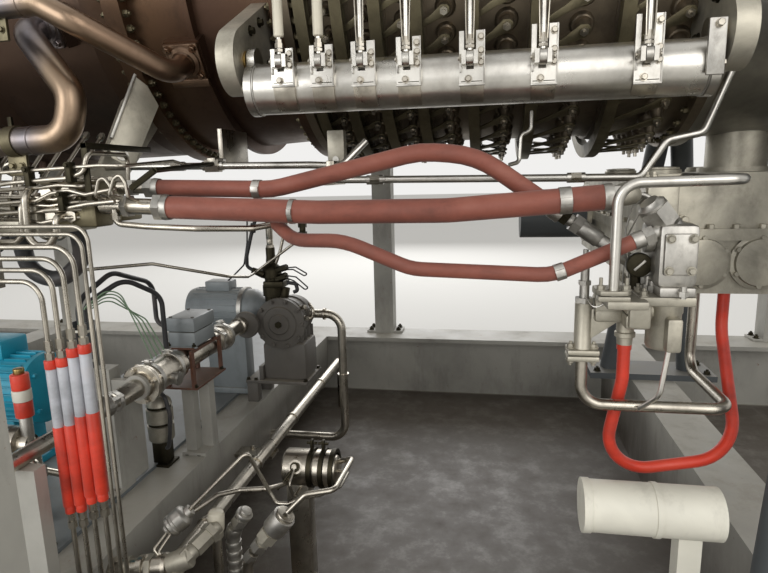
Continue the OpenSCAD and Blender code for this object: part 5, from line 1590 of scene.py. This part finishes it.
def build_sleeved_tube_set():
    """Small tubes with nuts and milky and orange-red sleeves."""
    bm = bmesh.new()
    runs = []
    for i in range(4):
        x, z = 676 + 26 * i, 1120 + 22 * i
        lift = (0, 6, 26, 34)[i]
        runs.append((((x, SLEEVES_Y, PAN_Z), (x, SLEEVES_Y, z), (510, SLEEVES_Y, z)), 5, 40))
        stack(bm, (x, SLEEVES_Y, lift), UP, ((606, 622, 9, 6), (624, 640, 8, 6), (640, 656, 10.5, 20, 1),
                                             (656, 828, 12.5, 24, 1), (826, 948, 11, 24, 2),
                                             (948, 966, 12, 20, 1), (966, 980, 9, 6), (984, 1004, 8, 6)), 1.5)
    for x in (778, 792):
        runs.append((((x, -804, PAN_Z), (x, -804, x + 432), (512, -790, x + 432)), 4, 30))
    pipes(bm, runs, 0, 12)
    block(bm, (668, -808, 420), (800, -792, 430), 2, 0)
    piece("sleeved_tube_set", bm, ["tube_steel", "red_sleeve", "clear_sleeve"],
          stands_for=("sleeved_tubes",))


def build_tray_ties():
    """White ties round the cable tray."""
    bm = bmesh.new()
    for z in (540, 640, 740, 840, 920):
        block(bm, (444, -457, z), (492, -453, z + 7), 1.5)
        block(bm, (444, -457, z), (448, -428, z + 7), 1)
        block(bm, (488, -457, z), (492, -428, z + 7), 1)
    piece("tray_ties", bm, ["white_plastic"])


def build_tray_wires():
    """Black wires in the cable tray."""
    bm = bmesh.new()
    for points in (((469, -446, 480), (469, -446, 940), (468, -440, 1010)),
                   ((485, -446, 480), (485, -446, 980)), ((452, -446, 480), (452, -446, 930))):
        pipes(bm, [(points, 4, 20)], 0, 8)
    piece("tray_wires", bm, ["black_rubber"])


def build_thin_wires():
    """Green wires from the tray to the junction box."""
    bm = bmesh.new()
    for k in range(4):
        pipes(bm, [(((462 + 6 * k, -446, 900), (462 + 6 * k, -446, 960 + 8 * k),
                     (520 + 10 * k, -400, 1000 + 14 * k), (580, -330 - 16 * k, 930),
                     (612, -300 - 22 * k, 826)), 2, 34)], 0, 6)
    piece("thin_wires", bm, ["wire_sleeve"])


class TURBINE_OT_sleeved_tubes(bpy.types.Operator):
    """Small tubes with milky and orange-red sleeves, the cable tray's ties and wires"""

    bl_idname = "turbine.sleeved_tubes"
    bl_label = "Sleeved tubes"

    def execute(self, context):
        build_sleeved_tube_set()
        build_tray_ties()
        build_tray_wires()
        build_thin_wires()
        return {"FINISHED"}


def build_bay_tubes():
    """Filter, union, tee, elbows and tubes in the open bay."""
    bm = bmesh.new()
    low, high = Vector((779, -634, 500)), Vector((829, -606, 541))
    turned(bm, ((-6, 9), (0, 14), (6, 14), (8, 23), (13, 27), (20, 27), (22, 25), (27, 25), (29, 27),
                (50, 27), (56, 22), (58, 15), (70, 14)), low, high - low, 32, 1)
    runs = [(((826, -607, 541), (944, -530, 657), (983, -500, 536), (998, -500, 507), (1030, -500, 508),
              (1069, -500, 528), (1110, -492, 534), (1148, -440, 530), (1146, -350, 520), (1108, -340, 516)),
             5, 12), (((812, -614, 522), (864, -540, 542), (902, -500, 535), (975, -488, 538),
                       (992, -440, 522), (984, -372, 492)), 6.5, 18),
            (((788, -630, 508), (771, -680, 481), (790, -682, 458)), 3.5, 6),
            (((798, -626, 508), (781, -678, 474), (802, -682, 458)), 3.5, 6),
            (((838, -682, 458), (800, -682, 405), (784, -682, 372), (784, -682, PAN_Z)), 15, 30),
            (((872, -578, PAN_Z), (872, -578, 500)), 12, 20),
            (((900, -548, PAN_Z), (900, -548, 450)), 15, 20),
            (((938, -560, PAN_Z), (938, -560, 372), (960, -560, 412)), 13, 30),
            (((1050, -560, 524), (1092, -548, 566), (1158, -530, 572), (1160, -350, 562),
              (1108, -330, 536)), 7, 22)]
    pipes(bm, runs, 0, 16)
    # Union with its bulkhead nut, long nut and tee
    turned(bm, ((0, 30), (8, 30), (10, 20), (30, 20), (32, 26), (46, 26), (48, 21), (70, 22), (74, 28),
                (88, 28), (90, 23), (112, 23), (116, 28), (140, 28), (146, 22)), (664, -682, 418),
           (1, 0, 0.2), 28)
    for reach in (34, 94):
        bar(bm, (664 + reach, -682, 418 + reach * 0.2), (678 + reach, -682, 421 + reach * 0.2), 28, sides=6,
            finish=2, edge=2)
    way = Vector((43, 94, 33)).normalized()
    bar(bm, (806, -682, 446), (856, -670, 466), 25, sides=20, finish=2, edge=5)
    stack(bm, (841, -682, 460), way, ((0, 16, 25, 6), (16, 34, 18, 20), (34, 76, 21, 6), (76, 92, 25, 6),
                                      (92, 108, 17, 20)), 2, 2)
    bar(bm, (828, -682, 444), (812, -682, 422), 21, sides=6, finish=2, edge=2)
    # Cream nut, banded elbow and the slanting fitting
    bar(bm, (872, -578, 452), (872, -578, 470), 17, sides=6, finish=2, edge=1)
    turned(bm, ((0, 17), (6, 20), (44, 20), (52, 17), (56, 10)), (872, -578, 470), (0.08, 0, 1), 28, 3)
    bar(bm, (900, -548, 300), (900, -548, 450), 17, sides=28, finish=1)
    for z in range(318, 440, 24):
        bar(bm, (900, -548, z), (900, -548, z + 14), 19.5, sides=28, finish=1, edge=2)
    bar(bm, (900, -548, 444), (908, -548, 466), 20, sides=20, finish=1, edge=4)
    stack(bm, (905, -548, 458), (0.55, 0, 0.83), ((0, 16, 20, 6), (16, 22, 17, 24), (22, 40, 21, 6),
                                                  (40, 46, 17, 24), (46, 58, 21, 24), (58, 66, 15, 24)), 2, 1)
    stack(bm, (941, -560, 389), (0.63, 0, 0.777), ((0, 24, 17, 6, 1), (24, 40, 14, 20), (40, 62, 21, 6, 1),
                                                   (62, 78, 17, 20, 2), (78, 104, 26, 6, 2),
                                                   (104, 112, 23, 24, 2), (112, 160, 29, 32, 1),
                                                   (160, 168, 24, 32)), 2)
    piece("bay_tubes", bm, ["tube_steel", "silver_alloy", "cast_alloy", "cream_paint"])


def build_bay_actuator():
    """Banded actuator with its lever, on a stand."""
    bm = bmesh.new()
    centre = Vector((966, -335, 520))
    turned(bm, ((0, 20), (0, 42), (6, 49), (70, 50), (72, 44), (88, 44), (90, 50), (104, 50), (106, 42),
                (116, 42), (118, 50), (132, 50), (134, 40), (146, 36), (152, 26)), centre, FRONT, 40)
    for reach in (72, 104, 132):
        hoop(bm, 0, 12, 44, 54, centre + Vector((reach, 0, 0)), FRONT, 40, 1)
    for reach in (78, 110):
        block(bm, (962 + reach, -343, 570), (970 + reach, -327, 602), 2, 1)
        bar(bm, (952 + reach, -335, 592), (980 + reach, -335, 592), 4, sides=10, finish=1)
    block(bm, (972, -360, PAN_Z), (1036, -310, 482), 4)
    block(bm, (958, -380, PAN_Z), (1046, -290, PAN_Z + 10), 2)
    # Lever on its ringed boss
    boss, out = Vector((1008, -374, 538)), Vector((0, -0.86, 0.5))
    for r, rise in ((25, 3), (19, 7), (13, 11), (7, 17)):
        bar(bm, boss - out * 6, boss + out * rise, r, sides=28, finish=0 if r in (19, 7) else 1)
    bar(bm, boss + out * 13, (972, -424, 498), 3.5, sides=10, finish=1)
    pipes(bm, [((boss + out * 8, (1004, -420, 512), (1012, -410, 470), (1012, -350, 470)), 4, 12)], 0, 10)
    piece("bay_actuator", bm, ["tube_steel", "dark_steel"])


def build_white_pipe_rim():
    """Rims of the white pipe."""
    bm = bmesh.new()
    turned(bm, ((-4, 38), (-4, 50), (10, 50), (12, 48.5)), (1694, -700, 682), FRONT, 40)
    hoop(bm, -5, 5, 48, 50, (1820, -700, 682), FRONT, 40)
    piece("white_pipe_rim", bm, ["white_plastic"])


def build_floor_pipe_rings():
    """Rings and bolts of the floor pipes."""
    bm = bmesh.new()
    for y in (-460, -120, 240, 620):
        hoop(bm, -5, 5, 20, 24, (780, y, 400), FAR, 28)
    for k in (0, 1):
        hoop(bm, -4, 4, 16, 22, (905, 310, 797) if k else (969, 310, 560), FRONT if k else UP, 28)
    bolts(bm, [((728 + 20 * s, y, 380), UP) for s in (-1, 1) for y in (-22, 22)], 12, 8)
    piece("floor_pipe_rings", bm, ["tube_steel"])


class TURBINE_OT_bay_fittings(bpy.types.Operator):
    """Filter, elbows, thin tubes and actuator in the open bay, and the rim of the white pipe"""

    bl_idname = "turbine.bay_fittings"
    bl_label = "Bay fittings"

    def execute(self, context):
        build_bay_tubes()
        build_bay_actuator()
        build_white_pipe_rim()
        build_floor_pipe_rings()
        return {"FINISHED"}


# Rest of the engine

def power_wall(x):
    """Radius of the power turbine's cone-shaped case."""
    return 560 + 130 * (MID_X - x) / (MID_X - POWER_X)


def build_fuel_nozzle_leads():
    """Fuel nozzle leads, manifolds and thermocouples."""
    bm = bmesh.new()
    runs = []
    for x, r, wide in ((120, 546, 11), (92, 540, 8), (-380, 640, 7)):
        runs.append(([round_case(x, r, 6 * k)[0] for k in range(61)], wide, 4))
    for k in range(30):
        a = 12 * k + 6
        foot, out = round_case(179, 520, a)
        runs.append(((foot, foot + out * 26, round_case(140, 566, a)[0], round_case(120, 548, a)[0]), 6, 12))
        hexagon(bm, foot + out * 2, foot + out * 14, 13)
        hexagon(bm, foot + out * 16, foot + out * 24, 9)
        bar(bm, round_case(120, 532, a)[0], round_case(120, 560, a)[0], 15, sides=12, finish=1)
    for k in range(6):
        bar(bm, round_case(88, 541, 60 * k + 3)[0], round_case(118, 545, 60 * k + 3)[0], 6, sides=8, finish=1)
    for k in range(8):
        a = 45 * k + 4
        foot, out = round_case(-620, 555, a)
        hexagon(bm, foot - out * 34, foot + out * 34, 14)
        bar(bm, foot + out * 34, foot + out * 70, 8, sides=16, finish=1)
        runs.append(((foot + out * 70, foot + out * 84, round_case(-480, 632, a)[0],
                      round_case(-380, 640, a)[0]), 5, 20))
        for b in (0, 1, 2):
            rib, out = round_case(-586, 575 + 9 * b, 45 * k + 22.5)
            hoop(bm, -4, 4, 30, 38, rib, out, 20, 1)
    pipes(bm, runs, 0, 8)
    piece("fuel_nozzle_leads", bm, ["tube_steel", "dark_steel"])


def build_case_bosses():
    """Bosses of the power turbine's case, and ribs along the split lines."""
    bm = bmesh.new()
    step = (MID_X - POWER_X - 2 * RIM_T) / 6
    for k in range(6):
        x = POWER_X + RIM_T + (k + 0.5) * step
        wall = power_wall(x)
        for n in range(12):
            foot, out = round_case(x, wall, 30 * n + 12 * (k % 2))
            flat = placed(foot, out)
            block(bm, (-36, -26, -10), (36, 26, 12), 4, 0, flat)
            bolts(bm, [(flat @ Vector((sx * 26, sy * 16, 12)), out) for sx in (-1, 1)
                       for sy in (-1, 1)], 11, 7)
    for x0, x1, r in ((POWER_X + 60, MID_X - 60, 0), (BURNER_X + 300, COMP_X0 - 60, 1)):
        for side in (-1, 1):
            for k in range(12):
                x = x0 + (x1 - x0) * k / 11
                wall = 466 if r else power_wall(x)
                near, far = sorted((side * (wall - 22), side * (wall + 14)))
                block(bm, (x - 9, near, AXIS_Z - 20), (x + 9, far, AXIS_Z + 20), 3)
    piece("case_bosses", bm, ["heated_steel"])


class TURBINE_OT_hot_section(bpy.types.Operator):
    """Fuel nozzle leads, manifolds, thermocouples and ribs of the hot casings"""

    bl_idname = "turbine.hot_section"
    bl_label = "Hot section"

    def execute(self, context):
        build_fuel_nozzle_leads()
        build_case_bosses()
        return {"FINISHED"}


def build_inlet_guide_vanes():
    """Guide vanes behind the bellmouth."""
    bm = bmesh.new()

    def vane(vm):
        plate(vm, [(-18, 0), (0, 5), (20, 1.5), (20, -1.5), (0, -5)], 246,
              Matrix.Translation((0, 0, 188)) @ Matrix.Rotation(0.5, 4, "Z"))

    copies(bm, vane, [placed((2036, 0, AXIS_Z), round_case(0, 1, 360 * k / 34)[1]) for k in range(34)])
    hoop(bm, 0, 10, 188, 192, (2310, 0, AXIS_Z), FRONT, 48)
    piece("inlet_guide_vanes", bm, ["machined_alloy"])


def build_gearbox_fittings():
    """Covers, flanges and bolts of gearbox, starter and pumps."""
    bm = bmesh.new()
    spots = []
    for k in range(9):
        x = 1862 + 400 * k / 8
        spots += [((x, s * 456, GEARBOX_FLOOR), UP) for s in (-1, 1)]
    for k in range(10):
        y = -430 + 860 * k / 9
        spots += [((1840, y, GEARBOX_FLOOR), UP), ((2286, y, GEARBOX_FLOOR), UP)]
    bolts(bm, spots, 13, 8)
    for x, y in ((1900, -300), (2180, -300), (2180, 300), (1900, 120)):
        turned(bm, ((0, 44), (8, 44), (10, 40), (14, 40), (16, 20)), (x, y, GEARBOX_TOP), UP, 28)
    for x in (1950, 2060, 2170):
        turned(bm, ((0, 58), (9, 58), (11, 50), (18, 48), (20, 30)), (x, -450, 1110), NEAR, 32)
        bolts(bm, [((x + 50 * math.cos(a), -459, 1110 + 50 * math.sin(a)), NEAR)
                   for a in (0.5, 1.55, 2.6, 3.65, 4.7, 5.75)], 10, 6)
    for y, r, x0, x1 in ((0, 105, 2292, 2510), (-260, 70, 2292, 2490)):
        hoop(bm, 0, 14, r, r + 14, (x0, y, GEARBOX_Z), FRONT, 36)
        turned(bm, ((-6, r), (-6, r + 4), (10, r + 4), (16, r - 8), (20, r * 0.5)),
               (x1 - 12, y, GEARBOX_Z), FRONT, 36)
        bolts(bm, [((x0 + 14, y + (r + 7) * math.cos(k * 0.785), GEARBOX_Z + (r + 7) * math.sin(k * 0.785)),
                    FRONT) for k in range(8)], 10, 7, 0)
    hoop(bm, 0, -14, 80, 92, (1834, 270, GEARBOX_Z), FRONT, 36)
    hoop(bm, 0, 12, 75, 92, (GEARBOX_X, 0, GEARBOX_TOP), UP, 36)
    piece("gearbox_fittings", bm, ["cast_alloy"])


class TURBINE_OT_inlet(bpy.types.Operator):
    """Inlet guide vanes with their ring, and details of gearbox, starter and pumps"""

    bl_idname = "turbine.inlet"
    bl_label = "Inlet and gearbox"

    def execute(self, context):
        build_inlet_guide_vanes()
        build_gearbox_fittings()
        return {"FINISHED"}


def build_base_bolts():
    """Bolts of the deck plate, the posts and the supports."""
    bm = bmesh.new()
    spots = crossings((-30, 180, 390, 520), (-1120, -700, -330, 0, 420, 760, 1120), PLATE_Z)
    for side in (-1, 1):
        for x in POST_XS:
            spots += crossings((x - 74, x + 74), (side * POST_Y - 30, side * POST_Y + 30), 480)
        for x, foot_y, _ in SUPPORTS:
            spots += crossings((x - 210, x + 210), (side * foot_y - 60, side * foot_y + 60), 492)
    bolts(bm, spots, 20, 12, stud=6)
    piece("base_bolts", bm, ["dark_steel"])


def build_frame_gussets():
    """Gussets, foot plates and support pins."""
    bm = bmesh.new()
    for side in (-1, 1):
        for x in POST_XS:
            y = side * POST_Y
            block(bm, (x - 96, y - 49, DECK_Z), (x + 96, y + 49, DECK_Z + 12), 2)
            for s in (-1, 1):
                flat = Matrix.Translation((x + s * 50, y + 4, 2880)) @ Matrix.Rotation(math.pi / 2, 4, "X")
                if abs(x + s * POST_STEP) < 3000:
                    plate(bm, [(0, 0), (s * 150, 0), (0, -150)], 8, flat, 0, 1)
        for x, _, r in SUPPORTS:
            bar(bm, (x, side * (r - 52), 1774), (x, side * (r + 52), 1774), 30, sides=28, edge=3)
            bar(bm, (x, side * (r + 50), 1774), (x, side * (r + 64), 1774), 24, sides=6)
    piece("frame_gussets", bm, ["base_paint"])


class TURBINE_OT_base_details(bpy.types.Operator):
    """Bolts, gussets, foot plates and pins of the base, the bay frame and the engine supports"""

    bl_idname = "turbine.base_details"
    bl_label = "Base details"

    def execute(self, context):
        build_base_bolts()
        build_frame_gussets()
        return {"FINISHED"}


# Stage

class TURBINE_OT_stage(bpy.types.Operator):
    """Pale floor, soft lamps and the photograph's camera"""

    bl_idname = "turbine.stage"
    bl_label = "Stage"

    def execute(self, context):
        build_floor()
        build_lamps()
        build_camera(context.scene)
        context.scene.view_settings.view_transform = "Standard"
        return {"FINISHED"}


def build_floor():
    """Pale floor, which isn't part of the object."""
    bm = bmesh.new()
    bmesh.ops.create_grid(bm, x_segments=1, y_segments=1, size=40.0)
    mesh = bpy.data.meshes.new("floor")
    bm.to_mesh(mesh)
    bm.free()
    floor = bpy.data.objects.new("floor", mesh)
    bpy.context.scene.collection.objects.link(floor)
    material = bpy.data.materials.new("floor")
    material.use_nodes = True
    shader = material.node_tree.nodes["Principled BSDF"]
    shader.inputs["Base Color"].default_value = (0.76, 0.75, 0.72, 1.0)
    shader.inputs["Roughness"].default_value = 0.9
    mesh.materials.append(material)


def lamp(name, place, aim, size, power, colour=(1.0, 1.0, 1.0)):
    """Square area lamp that looks at a point."""
    data = bpy.data.lights.new(name, "AREA")
    data.shape = "SQUARE"
    data.size = size
    data.energy = power
    data.color = colour
    obj = bpy.data.objects.new(name, data)
    obj.location = place
    obj.rotation_euler = (Vector(aim) - Vector(place)).to_track_quat("-Z", "Y").to_euler()
    bpy.context.scene.collection.objects.link(obj)


def build_lamps():
    """Soft lamps and a pale world."""
    lamp("key", (6.0, -8.7, 5.0), (1.2, 0.0, 1.5), 8.0, 400.0, (1.0, 0.98, 0.95))
    lamp("low_fill", (-4.25, -9.0, 3.4), (1.0, 0.0, 1.2), 6.0, 400.0)
    lamp("back", (0.0, 8.0, 4.5), (0.0, 0.0, 1.5), 5.0, 260.0)
    world = bpy.data.worlds.new("pale_world")
    bpy.context.scene.world = world
    world.use_nodes = True
    tree = world.node_tree
    background = tree.nodes["Background"]
    background.inputs["Color"].default_value = (1.0, 0.99, 0.97, 1.0)
    path = tree.nodes.new("ShaderNodeLightPath")
    seen = tree.nodes.new("ShaderNodeMath")
    seen.operation = "MAXIMUM"
    tree.links.new(path.outputs["Is Camera Ray"], seen.inputs[0])
    tree.links.new(path.outputs["Is Glossy Ray"], seen.inputs[1])
    strength = tree.nodes.new("ShaderNodeMapRange")
    strength.inputs["To Min"].default_value = 0.6
    strength.inputs["To Max"].default_value = 0.88
    tree.links.new(seen.outputs[0], strength.inputs["Value"])
    tree.links.new(strength.outputs[0], background.inputs["Strength"])


def build_camera(scene):
    """Camera with the photograph's lens, place and turn."""
    data = bpy.data.cameras.new("camera")
    data.sensor_width = SENSOR
    data.lens = SENSOR * PHOTO_FOCAL / PHOTO_WIDTH
    data.clip_start = 0.05
    data.clip_end = 200.0
    obj = bpy.data.objects.new("camera", data)
    turn = Matrix.Rotation(CAMERA_TURN, 4, "Z")
    down = Matrix.Rotation(math.pi / 2 - CAMERA_DOWN, 4, "X")
    roll = Matrix.Rotation(-CAMERA_ROLL, 4, "Z")
    obj.matrix_world = Matrix.Translation(CAMERA_PLACE) @ turn @ down @ roll
    scene.collection.objects.link(obj)
    scene.camera = obj


OPERATORS = [
    TURBINE_OT_finishes, TURBINE_OT_stage, TURBINE_OT_hoses, TURBINE_OT_vane_rows, TURBINE_OT_vane_shaft,
    TURBINE_OT_flange_bolts, TURBINE_OT_bleed_pipes, TURBINE_OT_hose_manifold, TURBINE_OT_silver_rails,
    TURBINE_OT_fuel_valve, TURBINE_OT_fuel_train, TURBINE_OT_pumps, TURBINE_OT_sleeved_tubes,
             TURBINE_OT_bay_fittings,
    TURBINE_OT_hot_section, TURBINE_OT_inlet, TURBINE_OT_base_details,
]


class TURBINE_PT_panel(bpy.types.Panel):
    """Lists the steps and the sizes and colours of the gas turbine"""

    bl_idname = "TURBINE_PT_panel"
    bl_label = "Gas Turbine"
    bl_space_type = "VIEW_3D"
    bl_region_type = "UI"
    bl_category = "Gas Turbine"

    def draw(self, context):
        for group in (context.scene.turbine_sizes, context.scene.turbine_colours):
            box = self.layout.box()
            for key in group.bl_rna.properties.keys():
                if key not in ("rna_type", "name"):
                    box.prop(group, key)
        for operator in OPERATORS:
            self.layout.operator(operator.bl_idname)


CLASSES = [TurbineSizes, TurbineColours] + OPERATORS + [TURBINE_PT_panel]


def register():
    for cls in CLASSES:
        bpy.utils.register_class(cls)
    bpy.types.Scene.turbine_sizes = bpy.props.PointerProperty(type=TurbineSizes)
    bpy.types.Scene.turbine_colours = bpy.props.PointerProperty(type=TurbineColours)


def unregister():
    del bpy.types.Scene.turbine_colours
    del bpy.types.Scene.turbine_sizes
    for cls in reversed(CLASSES):
        bpy.utils.unregister_class(cls)


def main():
    register()
    for operator in OPERATORS:
        group, name = operator.bl_idname.split(".")
        getattr(getattr(bpy.ops, group), name)()


if __name__ == "__main__":
    main()
